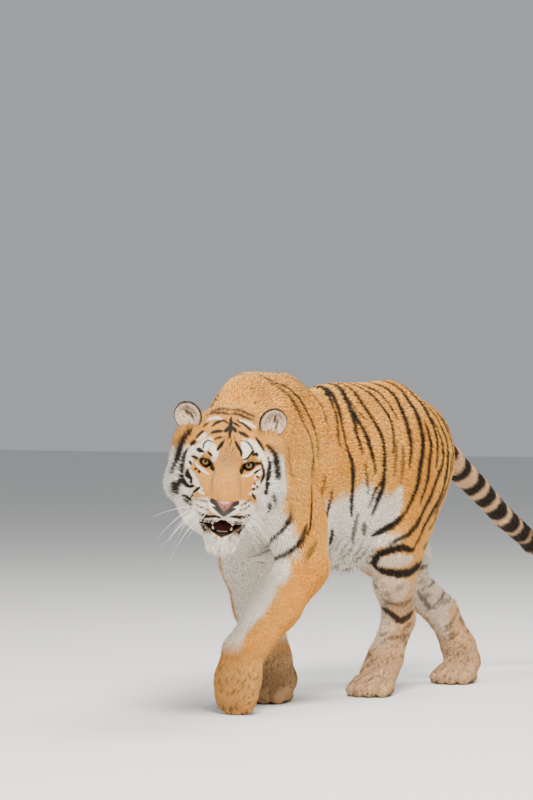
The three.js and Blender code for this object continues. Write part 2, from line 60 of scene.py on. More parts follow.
JOINTS = {
    "left": {
        "blade": (70, -342, 830), "shoulder": (135, -494, 600), "elbow": (150, -411, 392),
        "wrist": (86, -602, 168), "paw_tip": (80, -634, 0), "hip": (92, 221, 680), "knee": (120, 62, 436),
        "hock": (72, 182, 218),
        "ankle": (58, 131, 105), "pad": (54, 96), "heading": 10, "hamstring": (100, 50, 30),
    },
    "right": {
        "blade": (-70, -363, 868), "shoulder": (-116, -409, 590), "elbow": (-118, -314, 392),
        "wrist": (-66, -258, 128), "fore_pad": (-60, -245), "fore_heading": 4, "hip": (-92, 238, 680),
        "knee": (-118, 352, 400), "hock": (-40, 584, 212), "ankle": (-4, 622, 105), "pad": (14, 606),
        "heading": 4, "hamstring": (122, 62, 56),
    },
}
BODY = np.array([[1.0, 0, 0], [0, -1.0, 0], [0, 0, 1.0]])


def unit(v):
    v = np.asarray(v, float)
    return v / np.maximum(np.linalg.norm(v, axis=-1, keepdims=True), 1e-9)


def rotate(v, axis, degrees):
    c, s = math.cos(math.radians(degrees)), math.sin(math.radians(degrees))
    return v * c + np.cross(axis, v) * s + axis * (axis @ v) * (1 - c)


def turned(rows, row, degrees):
    return np.array([rotate(v, rows[row], degrees) for v in rows])


def head_rows():
    yawed = np.array([rotate(v, BODY[2], HEAD_TURN) for v in BODY])
    return turned(turned(yawed, 0, -HEAD_NOD), 1, -HEAD_TILT)


HEAD = head_rows()


def in_head(left, forward, up):
    return EYE_CENTRE + np.array([left, forward, up], float) @ HEAD


def to_head(p):
    return (p - EYE_CENTRE) @ HEAD.T


class Part:
    """A lump or a length of the body: how far off its surface a point is, and what hair grows on it."""

    def __init__(self, middle, reach, distance, blend, cut, lie):
        self.middle, self.reach, self.distance = middle, reach, distance
        self.blend, self.cut, self.lie = blend, cut, lie
        self.depth, self.hair, self.region, self.stand = 0.0, 10.0, "", 0.0


def oval(q, radii):
    k0 = np.sqrt(((q / radii) ** 2).sum(-1))
    k1 = np.sqrt(((q / radii ** 2) ** 2).sum(-1))
    return k0 * (k0 - 1) / np.maximum(k1, 1e-9)


def egg(centre, radii, blend, rows=BODY, cut=False):
    centre, radii = np.array(centre, float), np.array(radii, float)
    return Part(centre, radii.max(), lambda p: oval((p - centre) @ rows.T, radii), blend, cut, rows[1])


def bone(a, ra, b, rb, blend, across=BODY[0], cap=1.0, cut=False):
    a, b, ra, rb = (np.array(v, float) for v in (a, b, ra, rb))
    long = np.linalg.norm(b - a)
    u = (b - a) / long
    s = unit(across - u * (across @ u))
    n = np.cross(u, s)

    def distance(p):
        d = p - a
        along = d @ u
        t = np.clip(along / long, 0, 1)
        w = ra[0] + (rb[0] - ra[0]) * t
        h = ra[1] + (rb[1] - ra[1]) * t
        return oval(np.stack([d @ s, d @ n, along - t * long], -1), np.stack([w, h, np.sqrt(w * h) * cap], -1))

    return Part((a + b) / 2, long / 2 + max(*ra, *rb) * max(1, cap), distance, blend, cut, u)


def chain(stations, blend, across=BODY[0]):
    return [bone(*a, *b, blend, across) for a, b in zip(stations, stations[1:])]


def dressed(parts, region, depth, hair, lie=None, stand=None):
    """Gives parts their region, and the depth of their coat with the length, lie and stand of its hairs."""
    for part in parts:
        part.region, part.depth, part.hair = region, depth, hair
        part.stand = depth if stand is None else stand
        if lie is not None:
            part.lie = lie if callable(lie) else unit(lie)
    return parts


def mixed(a, b, t):
    return np.asarray(a, float) * (1 - t) + np.asarray(b, float) * t


def trunk():
    spine = [
        ((0, -627, 600), (100, 120)), ((0, -482, 640), (132, 215)), ((0, -280, 636), (150, 238)),
        ((0, -22, 626), (166, 250)), ((0, 168, 644), (150, 226)), ((0, 290, 702), (136, 172)),
        ((0, 364, 718), (108, 112)),
    ]
    ridges = [
        bone((0, -482, 850), (60, 70), (0, -314, 862), (58, 64), TRUNK_BLEND),
        bone((0, -90, 816), (60, 60), (0, 205, 842), (66, 60), TRUNK_BLEND),
    ]
    return (dressed(chain(spine, TRUNK_BLEND), "trunk", 6, 22, (0, 1, -0.28))
            + dressed(ridges, "trunk", 6, 22, (0, 1, -0.1)))


def neck():
    nape = [((0, -448, 700), (118, 150)), ((84, -622, 690), (118, 132)), (in_head(0, -170, -10), (120, 125))]
    return dressed(chain(nape, TRUNK_BLEND), "neck", 10, 34, (-0.45, 0.75, -0.5))


def shoulder(joints):
    side = np.sign(joints["shoulder"][0])
    x, y, z = joints["shoulder"]
    blade = bone(joints["blade"], (42, 80), (side * 130, y, z + 8), (62, 95), 58)
    return dressed([blade], "trunk", 6, 22, (0, 0.62, -0.78))


def foreleg(joints, name):
    elbow, wrist = joints["elbow"], joints["wrist"]
    upper = [
        bone(joints["shoulder"], (62, 88), elbow, (56, 72), 45),
        egg(mixed(joints["shoulder"], elbow, 0.55) + (0, 45, 10), (58, 85, 105), 45),
    ]
    lower = chain([(elbow, (64, 74)), (mixed(elbow, wrist, 0.45), (62, 67)), (wrist, (53, 56))], LEG_BLEND)
    down = unit(np.subtract(wrist, elbow))
    return dressed(upper, name, 5, 20, (0, 0.25, -1)) + dressed(lower, name, 4, 15, down)


def hindleg(joints, name):
    hip, knee, hock, ankle, (back, low, high) = (joints[k] for k in ("hip", "knee", "hock", "ankle", "hamstring"))
    seat = np.add(hip, (-np.sign(hip[0]) * 12, back, 0))
    calf = mixed(knee, hock, 0.4) + (0, low, high)
    shin = mixed(knee, hock, 0.5) + (0, -4, 0)
    thigh = [bone(hip, (70, 150), knee, (56, 78), 50), bone(seat, (60, 75), calf, (46, 56), 50)]
    lower = chain([(knee, (57, 66)), (shin, (50, 60)), (hock, (42, 54))], LEG_BLEND)
    foot = chain([(hock, (42, 54)), (ankle, (46, 52))], 18)
    return (dressed(thigh, name, 5, 21, (0, 0.5, -0.85)) + dressed(lower, name, 4, 15, (0, 0.3, -1))
            + dressed(foot, name, 3.5, 12, (0, -0.1, -1)))


def toes(root, tip, across, radii, spread, place):
    found = []
    for offset in (-1.5, -0.5, 0.5, 1.5):
        row = 0 if abs(offset) < 1 else 1
        start, end = (place(r[row]) + across * offset * s for r, s in ((root, spread[0]), (tip, spread[1])))
        found.append(bone(start, (radii[0],) * 2, end, (radii[1],) * 2, TOE_BLEND, across))
    return found


def standing_paw(ankle, pad, heading, name):
    turn = math.radians(heading)
    ahead = np.array([math.sin(turn), -math.cos(turn), 0])
    across = np.array([math.cos(turn), math.sin(turn), 0])

    def at(place):
        return np.array([*(np.array(pad) + ahead[:2] * place[0]), place[1]])

    wrist = [(ankle, (48, 50)), (at((-12, 62)), (50, 44)), (at((22, 36)), (56, 34))]
    sole = egg(at((5, 19)), (52, 46, 25), 14, np.array([across, ahead, BODY[2]]))
    fingers = toes(((40, 40), (26, 36)), ((88, 19.5), (70, 19.5)), across, (25, 21.5), (27, 30), at)
    down_and_ahead = ahead - 0.8 * BODY[2]
    return (dressed(chain(wrist, 24, across), name, 4, 11, down_and_ahead)
            + dressed(fingers, name, 2.5, 8, down_and_ahead) + dressed([sole], name, 1, 8, down_and_ahead))


def hanging_paw(joints, name):
    wrist, tip = np.array(joints["wrist"], float), np.array(joints["paw_tip"], float)
    down, reach = unit(tip - wrist), np.linalg.norm(tip - wrist)
    across = unit(np.cross(down, (0, 1, 0)))
    front = np.cross(down, across)

    def at(place):
        return wrist + down * place[0] * reach + front * place[1]

    palm = [(wrist, (55, 54)), (at((0.4, 8)), (66, 46)), (at((0.66, 6)), (68, 42))]
    fingers = toes(((0.60, 14), (0.52, 10)), ((0.9, 4), (0.83, 2)), across, (27, 22), (29, 25), at)
    return dressed(chain(palm, 24, across), name, 4, 12, down) + dressed(fingers, name, 3, 9, down)


TAIL_STATIONS = [
    ((0, 325, 776), (60, 62)), ((0, 437, 732), (49, 51)), ((5, 548, 674), (41, 42)), ((8, 690, 592), (36, 36)),
    ((14, 838, 495), (33, 33)), ((28, 985, 410), (32, 32)), ((42, 1090, 362), (31, 31)),
    ((52, 1185, 350), (29, 29)), ((60, 1262, 374), (23, 23)),
]


def tail():
    return dressed(chain(TAIL_STATIONS, 10), "tail", 6, 22)


def away_from_nose(p):
    """Face hair runs from the nose back over the brow and cheeks, and turns down on the ruff."""
    q = to_head(p) - (0, 124, -88)
    q[:, 2] -= 0.35 * np.abs(q[:, 0]) + 4
    return unit(q) @ HEAD


def head():
    def at(c, r, blend):
        return egg(in_head(*c), r, blend, HEAD)

    def run(a, ra, b, rb, blend):
        return bone(in_head(*a), ra, in_head(*b), rb, blend, HEAD[0])

    found = dressed([at((0, -108, 8), (102, 112, 90), 40), at((0, -50, 34), (80, 60, 52), 30)], "head", 4, 10)
    for s in (-1, 1):
        jowl, jowl_radii = (s * 112, -82, -82), (46, 58)
        upper_ruff = run((s * 106, -98, 30), (40, 48), jowl, jowl_radii, 36)
        lower_ruff = run(jowl, jowl_radii, (s * 64, -60, -146), (48, 48), 36)
        brow, under_eye = at((s * 44, -12, 28), (34, 28, 19), 14), at((s * 62, 12, -36), (32, 32, 26), 20)
        muzzle, pad = at((s * 46, 36, -76), (42, 58, 44), 24), at((s * 40, 84, -95), (42, 42, 35), 14)
        found += dressed([at((s * 70, -48, -34), (60, 74, 62), 30)], "head", 4, 10)
        found += dressed([upper_ruff], "head", 13, 32)
        found += dressed([lower_ruff], "head", 28, 44, stand=15)
        found += dressed([at((s * 86, -36, -78), (48, 62, 58), 30)], "head", 9, 22)
        found += dressed([brow, under_eye, muzzle, pad], "head", 2, 5)
    bridge = run((0, -25, 8), (38, 34), (0, 106, -65), (33, 28), 22)
    palate = run((0, -10, -66), (66, 56), (0, 84, -84), (50, 38), 25)
    found += dressed([bridge, palate], "head", 1.8, 4.5)
    found += dressed([
        bone(in_head(0, -50, -124), (74, 62), in_head(0, 60, -164), (52, 38), 25, HEAD[0]),
        egg(in_head(0, 78, -184), (42, 30, 31), 16, HEAD),
    ], "head", 4, 16)
    return dressed_face(found)


def dressed_face(parts):
    for part in parts:
        part.lie = away_from_nose
    return parts


def mouth_opening():
    return [
        bone(in_head(0, 150, -143), (90, 19), in_head(0, 42, -128), (72, 6), 8, HEAD[0], 0.4, True),
        bone(in_head(0, 110, -143), (36, 20), in_head(0, 20, -130), (34, 18), 8, HEAD[0], 1, True),
    ]


def ear_name(side):
    return "ear_left" if side > 0 else "ear_right"


def ear_centre(side):
    return in_head(side * EAR_CENTRE[0], *EAR_CENTRE[1:])


def ear_rows(side):
    return turned(turned(HEAD, 1, -side * 18), 2, side * 14)


def ear(side):
    rows = ear_rows(side)
    centre = ear_centre(side)
    hollow = centre + rows[1] * 16 + rows[2] * 3
    hollow_radii = (EAR_RADII[0] - EAR_WALL, EAR_RADII[1], EAR_RADII[2] - EAR_WALL)
    cup = [egg(centre, EAR_RADII, 14, rows), egg(hollow, hollow_radii, 6, rows, True)]
    return dressed(cup, ear_name(side), 1.5, 8, rows[2])


LID_HALF_WIDTH = 17.5
LID_OUTSIDE = 20.8       # radius of the lid's outer face about the eyeball's centre
LID_CLEAR = 0.25         # room between the lid and the eyeball


def lid_gap(x, z):
    """How far a place on the eye's front lies outside the almond opening of the lids."""
    wide = np.clip(1 - (x / LID_HALF_WIDTH) ** 2, 0, 1)
    lean = 0.22 * x - 0.022 * np.minimum(x - 2, 0) ** 2
    top, bottom = lean + 9.4 * wide ** 0.55, lean - 6.6 * wide ** 0.8
    return np.maximum(np.maximum(z - top, bottom - z), np.abs(x) - LID_HALF_WIDTH)


def lids(side):
    """A cupped lid round the front of the eyeball, with an almond opening whose inner corner dips to the nose."""
    centre, rows = eye_centre(side), eye_rows(side)

    def distance(p):
        q = (p - centre) @ rows.T
        x, z = q[:, 0] * side, q[:, 2]
        r = np.linalg.norm(q, axis=1)
        gap = lid_gap(x, z)
        rim = 1.4 * np.exp(-(gap / 3.0) ** 2) + 1.2 * (z > 0) * np.exp(-(gap / 5.0) ** 2)
        shell = np.maximum(r - LID_OUTSIDE - rim, EYEBALL + LID_CLEAR - r)
        return np.maximum(soft_max(shell, -gap, 1.6), -q[:, 1] - 1)

    return Part(centre, 26, distance, 1.0, False, rows[1])


def eye_rows(side):
    return turned(turned(HEAD, 1, side * 14), 2, -side * 12)


def eye_centre(side):
    return in_head(side * EYE_HALF_SPACING, -13, 0)


def face_lines():
    """The hollows of the face: eye sockets, the corners beside the nose and the groove of the lip."""
    found = []
    for s in (-1, 1):
        found.append(egg(in_head(s * 58, 10, 1), (23, 18, 14), 7, eye_rows(s), True))
        found.append(bone(in_head(s * 33, 20, -12), (5, 5), in_head(s * 40, 8, -4), (7, 6), 8, HEAD[0], 1, True))
    found.append(bone(in_head(0, 142, -96), (3, 7), in_head(0, 132, -124), (3, 7), 5, HEAD[0], 1, True))
    return found


def lips():
    """Bare lips: a lobe of the upper lip each side of the groove, and the raised edge of the lower lip."""
    found = []
    for s in (-1, 1):
        lobe = ((s * 24, 112, -119), (11, 9), (s * 52, 72, -130), (10, 11), 10)
        lower_front = ((0, 99, -165), (7, 7), (s * 40, 76, -160), (6, 7), 8)
        lower_side = ((s * 40, 76, -160), (6, 7), (s * 56, 46, -142), (7, 10), 8)
        for a, ra, b, rb, blend in (lobe, lower_front, lower_side):
            found.append(bone(in_head(*a), ra, in_head(*b), rb, blend, HEAD[0]))
    return dressed_face(dressed(found, "head", 1.0, 4))


FAR = 90.0


def soft_min(a, b, k):
    h = np.maximum(k - np.abs(a - b), 0) / k
    return np.minimum(a, b) - h * h * k / 4


def soft_max(a, b, k):
    return -soft_min(-a, -b, k)


def form(p, parts, bare=True):
    """How far each point lies off the skin, or off the tips of the coat: negative inside."""
    f = np.full(len(p), FAR)
    for part in parts:
        near = ((p - part.middle) ** 2).sum(1) < (part.reach + FAR) ** 2
        d = part.distance(p[near]) + bare * part.depth * (-1 if part.cut else 1)
        f[near] = soft_max(f[near], -d, part.blend) if part.cut else soft_min(f[near], d, part.blend)
    return f


def grid_values(parts, low, high, cell):
    """The form on a grid, worked out in full only near the surface."""
    low = np.asarray(low, float)
    counts = np.ceil((np.asarray(high, float) - low) / (4 * cell)).astype(int) * 4 + 1
    axes = [low[i] + cell * np.arange(counts[i]) for i in range(3)]
    wide = np.stack(np.meshgrid(*(a[::4] for a in axes), indexing="ij"), -1)
    rough = form(wide.reshape(-1, 3), parts).reshape(wide.shape[:3])
    near = [(np.arange(n) + 2) // 4 for n in counts]
    values = rough[np.ix_(*near)]
    close = np.argwhere(np.abs(values) < 2.2 * cell * 2 + 6)
    values[tuple(close.T)] = form(low + close * cell, parts)
    return values, low


def net(values, low, cell):
    """One vertex for each cell that the surface crosses, and one four-sided face for each edge."""
    inside = values < 0
    size = np.array(values.shape)
    filled = sum(inside[i:size[0] - 1 + i, j:size[1] - 1 + j, k:size[2] - 1 + k].astype(np.int8)
                 for i in (0, 1) for j in (0, 1) for k in (0, 1))
    crossed = (filled > 0) & (filled < 8)
    cells = np.argwhere(crossed)
    number = np.full(crossed.shape, -1)
    number[crossed] = np.arange(len(cells))
    total, count = np.zeros((len(cells), 3)), np.zeros(len(cells))
    for corner in np.ndindex(2, 2, 2):
        for d in range(3):
            if corner[d]:
                continue
            a = values[tuple((cells + corner).T)]
            b = values[tuple((cells + corner + np.eye(3, dtype=int)[d]).T)]
            cut = (a < 0) != (b < 0)
            place = np.tile(np.array(corner, float), (len(cells), 1))
            place[:, d] += np.where(cut, a / np.where(cut, a - b, 1), 0)
            total += place * cut[:, None]
            count += cut
    points = low + (cells + total / count[:, None]) * cell
    faces = []
    for d in range(3):
        u, v = np.eye(3, dtype=int)[(d + 1) % 3], np.eye(3, dtype=int)[(d + 2) % 3]
        ahead = [slice(None)] * 3
        behind = [slice(None)] * 3
        ahead[d], behind[d] = slice(1, None), slice(0, -1)
        edges = np.argwhere(inside[tuple(ahead)] != inside[tuple(behind)])
        room = ((edges @ u > 0) & (edges @ v > 0) & (edges @ u < size @ u - 1) & (edges @ v < size @ v - 1))
        edges = edges[room]
        ring = np.stack([number[tuple((edges - o).T)] for o in (u + v, v, 0 * u, u)], 1)
        outward = inside[tuple(edges.T)]
        ring[~outward] = ring[~outward][:, ::-1]
        faces.append(ring)
    return points, np.concatenate(faces)


def settled(points, parts, furthest):
    """Moves points along the form's slope until they lie on the skin."""
    p = points.copy()
    for _ in range(3):
        value = form(p, parts)
        slope = np.stack([form(p + step, parts) - value for step in np.eye(3) * 0.5], 1) * 2
        move = np.clip(-value / np.maximum((slope ** 2).sum(1), 0.25), -furthest / 2, furthest / 2)
        p += slope * move[:, None]
    gone = np.linalg.norm(p - points, axis=1) > furthest
    p[gone] = points[gone]
    return p


def refined(points, triangles, wanted):
    """Halves every edge that is wanted, and divides the triangles on either side to match."""
    edges = np.sort(triangles[:, [0, 1, 1, 2, 2, 0]].reshape(-1, 2), axis=1)
    unique, which = np.unique(edges, axis=0, return_inverse=True)
    which = which.reshape(-1, 3)
    middles = points[unique].mean(1)
    marked = wanted(middles)
    number = np.full(len(unique), -1)
    number[marked] = len(points) + np.arange(marked.sum())
    new = number[which]
    split = new >= 0
    order = np.where(split.sum(1) == 1, split.argmax(1), np.where(split.sum(1) == 2, (~split).argmax(1), 0))
    turn = (order[:, None] + np.arange(3)) % 3
    t, m = np.take_along_axis(triangles, turn, 1), np.take_along_axis(new, turn, 1)
    how_many = split.sum(1)
    pieces = [triangles[how_many == 0]]
    a, b = t[how_many == 1], m[how_many == 1]
    pieces += [np.stack([a[:, 0], b[:, 0], a[:, 2]], 1), np.stack([b[:, 0], a[:, 1], a[:, 2]], 1)]
    a, b = t[how_many == 2], m[how_many == 2]
    pieces += [np.stack([a[:, 2], b[:, 2], b[:, 1]], 1), np.stack([a[:, 0], a[:, 1], b[:, 1]], 1),
               np.stack([a[:, 0], b[:, 1], b[:, 2]], 1)]
    a, b = t[how_many == 3], m[how_many == 3]
    pieces += [np.stack([a[:, i], b[:, i], b[:, (i + 2) % 3]], 1) for i in range(3)] + [b]
    return np.concatenate([points, middles[marked]]), np.concatenate(pieces)


def on_paws(p):
    return p[:, 2] < 110


def on_head(p):
    return to_head(p)[:, 1] > -135


def on_face(p):
    q = to_head(p)
    return (q[:, 1] > -40) & (np.abs(q[:, 0]) < 95) & (q[:, 2] > -215) & (q[:, 2] < 50)


def halved(rings):
    """Two triangles for each four-sided face."""
    return rings[:, [0, 1, 2, 0, 2, 3]].reshape(-1, 3)


SKIN_CELL = 10
SKIN_ROOM = ((-230, -1080, -10), (400, 1300, 960))


def skin_shape(parts):
    """The body on the whole grid, the head and feet at half its cell and the face at a quarter."""
    values, low = grid_values(parts, *SKIN_ROOM, SKIN_CELL)
    points, rings = net(values, low, SKIN_CELL)
    triangles = halved(rings)
    points = settled(points, parts, 6)
    points, triangles = refined(points, triangles, lambda p: on_head(p) | on_paws(p))
    points = settled(points, parts, 4)
    points, triangles = refined(points, triangles, on_face)
    return settled(points, parts, 2), triangles


def shell_shape(parts, cell, margin=4):
    """A small closed shape, such as an ear, on a finer grid of its own."""
    low = np.min([p.middle - p.reach for p in parts if not p.cut], axis=0) - margin
    high = np.max([p.middle + p.reach for p in parts if not p.cut], axis=0) + margin
    values, low = grid_values(parts, low, high, cell)
    points, rings = net(values, low, cell)
    return points, halved(rings)


def lay(p, parts):
    """At points on the skin: the lie of the hair, its length, how far it stands and its region."""
    lie, hair, depth, weight = np.zeros((len(p), 3)), np.zeros(len(p)), np.zeros(len(p)), np.full(len(p), 1e-9)
    nearest, region = np.full(len(p), 1e9), np.zeros(len(p), int)
    for part in parts:
        if part.cut or not part.region:
            continue
        near = np.flatnonzero(((p - part.middle) ** 2).sum(1) < (part.reach + 60) ** 2)
        d = part.distance(p[near]) + part.depth
        w = np.exp(-np.clip(d, -20, 90) / 12)
        way = part.lie(p[near]) if callable(part.lie) else part.lie
        lie[near] += way * w[:, None]
        hair[near] += part.hair * w
        depth[near] += part.stand * w
        weight[near] += w
        closer = d < nearest[near]
        nearest[near[closer]] = d[closer]
        region[near[closer]] = REGIONS.index(part.region)
    return unit(lie), hair / weight, depth / weight, region


REGIONS = ["trunk", "neck", "head", "foreleg_left", "foreleg_right", "hindleg_left", "hindleg_right", "tail",
           "ear_left", "ear_right"]


def vertex_normals(points, triangles):
    a, b, c = (points[triangles[:, i]] for i in range(3))
    cross = np.cross(b - a, c - a)
    total = np.zeros_like(points)
    for i in range(3):
        np.add.at(total, triangles[:, i], cross)
    return unit(total)


def paint(mesh, marks, along):
    """Markings on each vertex: how black, how white, how grey, and how far it is from root to tip, which sets the
    painted shade of the roots.
    """
    layer = mesh.attributes.new("marks", "FLOAT_COLOR", "POINT")
    layer.data.foreach_set("color", np.column_stack([marks, along]).astype(np.float32).ravel())


def to_frame(p):
    return (p + SHIFT) / 1000


# The same stripes colour the hide and every tuft. Each stripe is a brush stroke through a few places,
# with its width and, where it isn't full black, its strength. The flank's are drawn by how far back and
# how high they are, and the face's by how far out and how high.
def brushed(q, places, width, ragged=0.0):
    """How much of a tapering brush stroke through the places covers each point of a flat chart."""
    cover = np.zeros(len(q))
    places = np.array(places, float)
    room = 2 * width + 12
    near = np.flatnonzero(np.all((q > places.min(0) - room) & (q < places.max(0) + room), axis=1))
    if not len(near):
        return cover
    ends = np.vstack([2 * places[0] - places[1], places, 2 * places[-1] - places[-2]])
    s = np.linspace(0, len(places) - 1 - 1e-6, 6 * len(places))
    i, t = s.astype(int), (s % 1)[:, None]
    p0, p1, p2, p3 = (ends[i + k] for k in range(4))
    line = 0.5 * (2 * p1 + (p2 - p0) * t + (2 * p0 - 5 * p1 + 4 * p2 - p3) * t ** 2
                  + (3 * p1 - p0 - 3 * p2 + p3) * t ** 3)
    x, best, where = q[near], np.full(len(near), 1e9), np.zeros(len(near))
    for k, (a, b) in enumerate(zip(line, line[1:])):
        d = b - a
        u = np.clip(((x - a) @ d) / max(d @ d, 1e-9), 0, 1)
        gap = np.hypot(*(x - a - u[:, None] * d).T)
        closer = gap < best
        best[closer] = gap[closer]
        where[closer] = (k + u[closer]) / (len(line) - 1)
    half = width / 2 * np.clip(np.sin(np.pi * (0.06 + 0.88 * where)), 0, 1) ** 0.5
    edge = 1.0 + 0.11 * width
    cover[near] = np.clip((half - best + ragged * ripple(x, width)) / edge + 0.5, 0, 1)
    return cover


def painted(chart, strokes, ragged=0.0):
    """The most that any of the strokes covers each point of a chart."""
    cover = np.zeros(len(chart))
    for places, width, *strength in strokes:
        cover = np.maximum(cover, brushed(chart, places, width, ragged) * (strength[0] if strength else 1))
    return cover


def ripple(q, size):
    """A cheap, smooth unevenness, from minus one to one."""
    x, y = q[:, 0] / size, q[:, 1] / size
    return (np.sin(1.9 * x + 1.3 * np.sin(0.7 * y)) + np.sin(1.1 * y + 1.7 * np.sin(0.9 * x + 1))
            + np.sin(2.9 * (x - y) + 2)) / 3


def smooth(low, high, v):
    t = np.clip((v - low) / (high - low), 0, 1)
    return t * t * (3 - 2 * t)


# Flank stripes from the spine down, as places (how far back, height).
FLANK = [
    ([(-425, 930), (-410, 885), (-405, 855), (-400, 820), (-390, 780), (-375, 735), (-375, 690),
       (-380, 640)], 9, 0.9), ([(-412, 880), (-400, 850), (-390, 815), (-378, 785)], 7, 0.8),
    ([(-330, 930), (-300, 890), (-262, 850), (-258, 820), (-275, 785)], 9, 0.9),
    ([(-440, 960), (-400, 895), (-385, 870), (-370, 850), (-355, 810), (-345, 775), (-340, 740),
       (-350, 690)], 11, 0.9), ([(-230, 900), (-262, 800), (-290, 725)], 5, 0.6),
    ([(-85, 940), (-125, 885), (-150, 860), (-175, 835), (-205, 795), (-228, 750), (-232, 720)], 12),
    ([(-80, 940), (-120, 885), (-135, 860), (-155, 830), (-180, 795), (-195, 755), (-195, 710),
       (-188, 665)], 14), ([(-195, 720), (-182, 675), (-180, 630), (-180, 580), (-165, 525)], 22),
    ([(-40, 940), (-80, 890), (-100, 860), (-112, 825), (-125, 785), (-135, 750), (-130, 700)], 18),
    ([(-45, 920), (-70, 890), (-90, 865), (-92, 835), (-85, 810), (-75, 795)], 9, 0.9),
    ([(-105, 835), (-105, 790), (-100, 755), (-95, 720), (-90, 685), (-85, 645)], 18),
    ([(-125, 675), (-120, 630), (-110, 585)], 12, 0.9),
    ([(-10, 940), (-40, 885), (-50, 850), (-50, 820), (-45, 790), (-35, 755), (-35, 715), (-45, 670),
       (-55, 630), (-85, 595), (-100, 550)], 18),
    ([(-15, 930), (15, 885), (38, 860), (45, 825), (52, 800), (45, 770), (30, 740), (5, 700)], 17),
    ([(10, 930), (55, 890), (80, 875), (90, 850), (95, 825), (90, 795)], 14),
    ([(80, 940), (135, 895), (152, 875), (155, 850), (140, 815), (125, 785), (115, 745), (110, 715),
       (90, 660)], 21), ([(45, 735), (20, 690), (0, 635)], 17, 0.7),
    ([(75, 720), (60, 670), (40, 615)], 19, 0.7),
    ([(185, 940), (200, 890), (205, 855), (205, 820), (187, 785), (175, 745), (160, 700), (137, 650),
       (125, 605), (105, 575), (75, 535), (50, 512)], 22),
    ([(70, 530), (30, 500), (-5, 485), (-35, 475), (-55, 468)], 25),
    ([(-45, 630), (-55, 600), (-70, 570), (-85, 525)], 22),
    ([(225, 940), (250, 865), (262, 835), (258, 805), (255, 775), (250, 740), (240, 705), (225, 650)], 18),
    ([(250, 880), (262, 820), (258, 790)], 14, 0.9),
    ([(215, 785), (210, 745), (205, 705), (190, 670), (180, 625), (160, 585), (140, 550)], 18),
    ([(265, 800), (275, 755), (278, 720), (265, 665), (235, 620), (200, 570), (165, 535), (130, 490),
       (85, 470), (35, 455), (5, 440)], 18),
    ([(270, 900), (295, 825), (315, 785), (318, 750), (315, 720), (300, 665), (285, 610), (265, 565),
       (225, 530), (185, 490), (155, 445), (110, 425), (60, 415)], 18),
    ([(320, 900), (365, 800), (372, 750), (360, 690), (340, 640)], 17),
    ([(385, 800), (400, 760), (395, 710)], 14, 0.8),
    ([(340, 690), (325, 650), (315, 600), (275, 550), (240, 515)], 18, 0.8),
    ([(260, 540), (262, 500), (215, 475)], 19, 0.7), ([(270, 450), (235, 430), (200, 420)], 22, 0.8),
    ([(-315, 640), (-320, 620), (-330, 585)], 11, 0.8),
    ([(-285, 600), (-290, 545), (-300, 500), (-305, 455)], 17), ([(-245, 490), (-215, 445)], 19),
    ([(-140, 530), (-135, 485), (-115, 445)], 18, 0.8), ([(-110, 505), (-88, 470)], 19, 0.8),
    ([(-375, 695), (-405, 635), (-435, 590), (-455, 515), (-468, 480)], 11),
    ([(-470, 510), (-485, 460)], 14, 0.9), ([(-430, 460), (-455, 435), (-470, 405)], 17, 0.6),
    ([(-520, 735), (-525, 695), (-530, 640)], 9, 0.7),
]
# More of the same on the right side of the neck and shoulder, which the head's turn lays bare.
RIGHT_NECK = [
    ([(-470, 900), (-490, 850), (-500, 800), (-505, 740)], 9, 0.9),
    ([(-540, 870), (-565, 820), (-580, 760), (-575, 710)], 10, 0.9),
    ([(-600, 840), (-625, 790), (-635, 740)], 9, 0.9), ([(-650, 820), (-672, 775), (-680, 735)], 9, 0.9),
    ([(-440, 760), (-450, 700), (-440, 640)], 9, 0.8),
]
# Bands on the left hind leg (how far round from its front edge, height) and on the right shin (how far back,
# height), and strokes on the front of the chest (out, height).
LEFT_LEG = [
    ([(65, 525), (50, 500), (30, 485), (8, 470)], 24),
    ([(150, 420), (110, 420), (75, 428), (55, 425), (35, 420), (10, 408), (-14, 388)], 24),
    ([(200, 392), (155, 365), (85, 352), (40, 355), (10, 362), (-15, 372)], 27),
    ([(8, 400), (-14, 385), (-10, 362)], 26), ([(130, 520), (110, 485), (80, 460), (45, 445)], 9, 0.8),
    ([(-25, 250), (10, 235), (45, 215), (85, 222), (125, 240)], 22, 0.95),
    ([(0, 278), (45, 260), (100, 268), (135, 278)], 14, 0.55), ([(15, 160), (55, 165), (120, 170)], 14, 0.65),
    ([(-50, 330), (-15, 305)], 14, 0.6),
]
LEFT_LEG_WHITE = [
    ([(0, 444), (40, 446), (75, 460)], 36), ([(10, 384), (55, 390), (120, 392)], 40),
    ([(-15, 305), (40, 308), (85, 315)], 84),
]
RIGHT_SHIN = [
    ([(560, 330), (533, 307), (474, 289)], 10, 0.8),
    ([(440, 280), (457, 262), (492, 234), (520, 222)], 13, 0.7),
    ([(590, 285), (560, 268), (512, 236)], 10, 0.8), ([(600, 262), (563, 238)], 7, 0.7),
    ([(622, 205), (618, 180)], 16, 0.8), ([(590, 205), (555, 167)], 8, 0.6),
    ([(420, 330), (480, 350), (520, 345)], 12, 0.8),
]
CHEST = [
    ([(202, 600), (200, 570), (196, 550), (183, 520), (152, 485), (100, 455), (60, 445)], 10),
    ([(202, 500), (200, 480), (186, 450), (150, 425), (100, 412), (60, 405)], 12),
    ([(130, 560), (90, 540), (40, 530)], 6, 0.5),
]
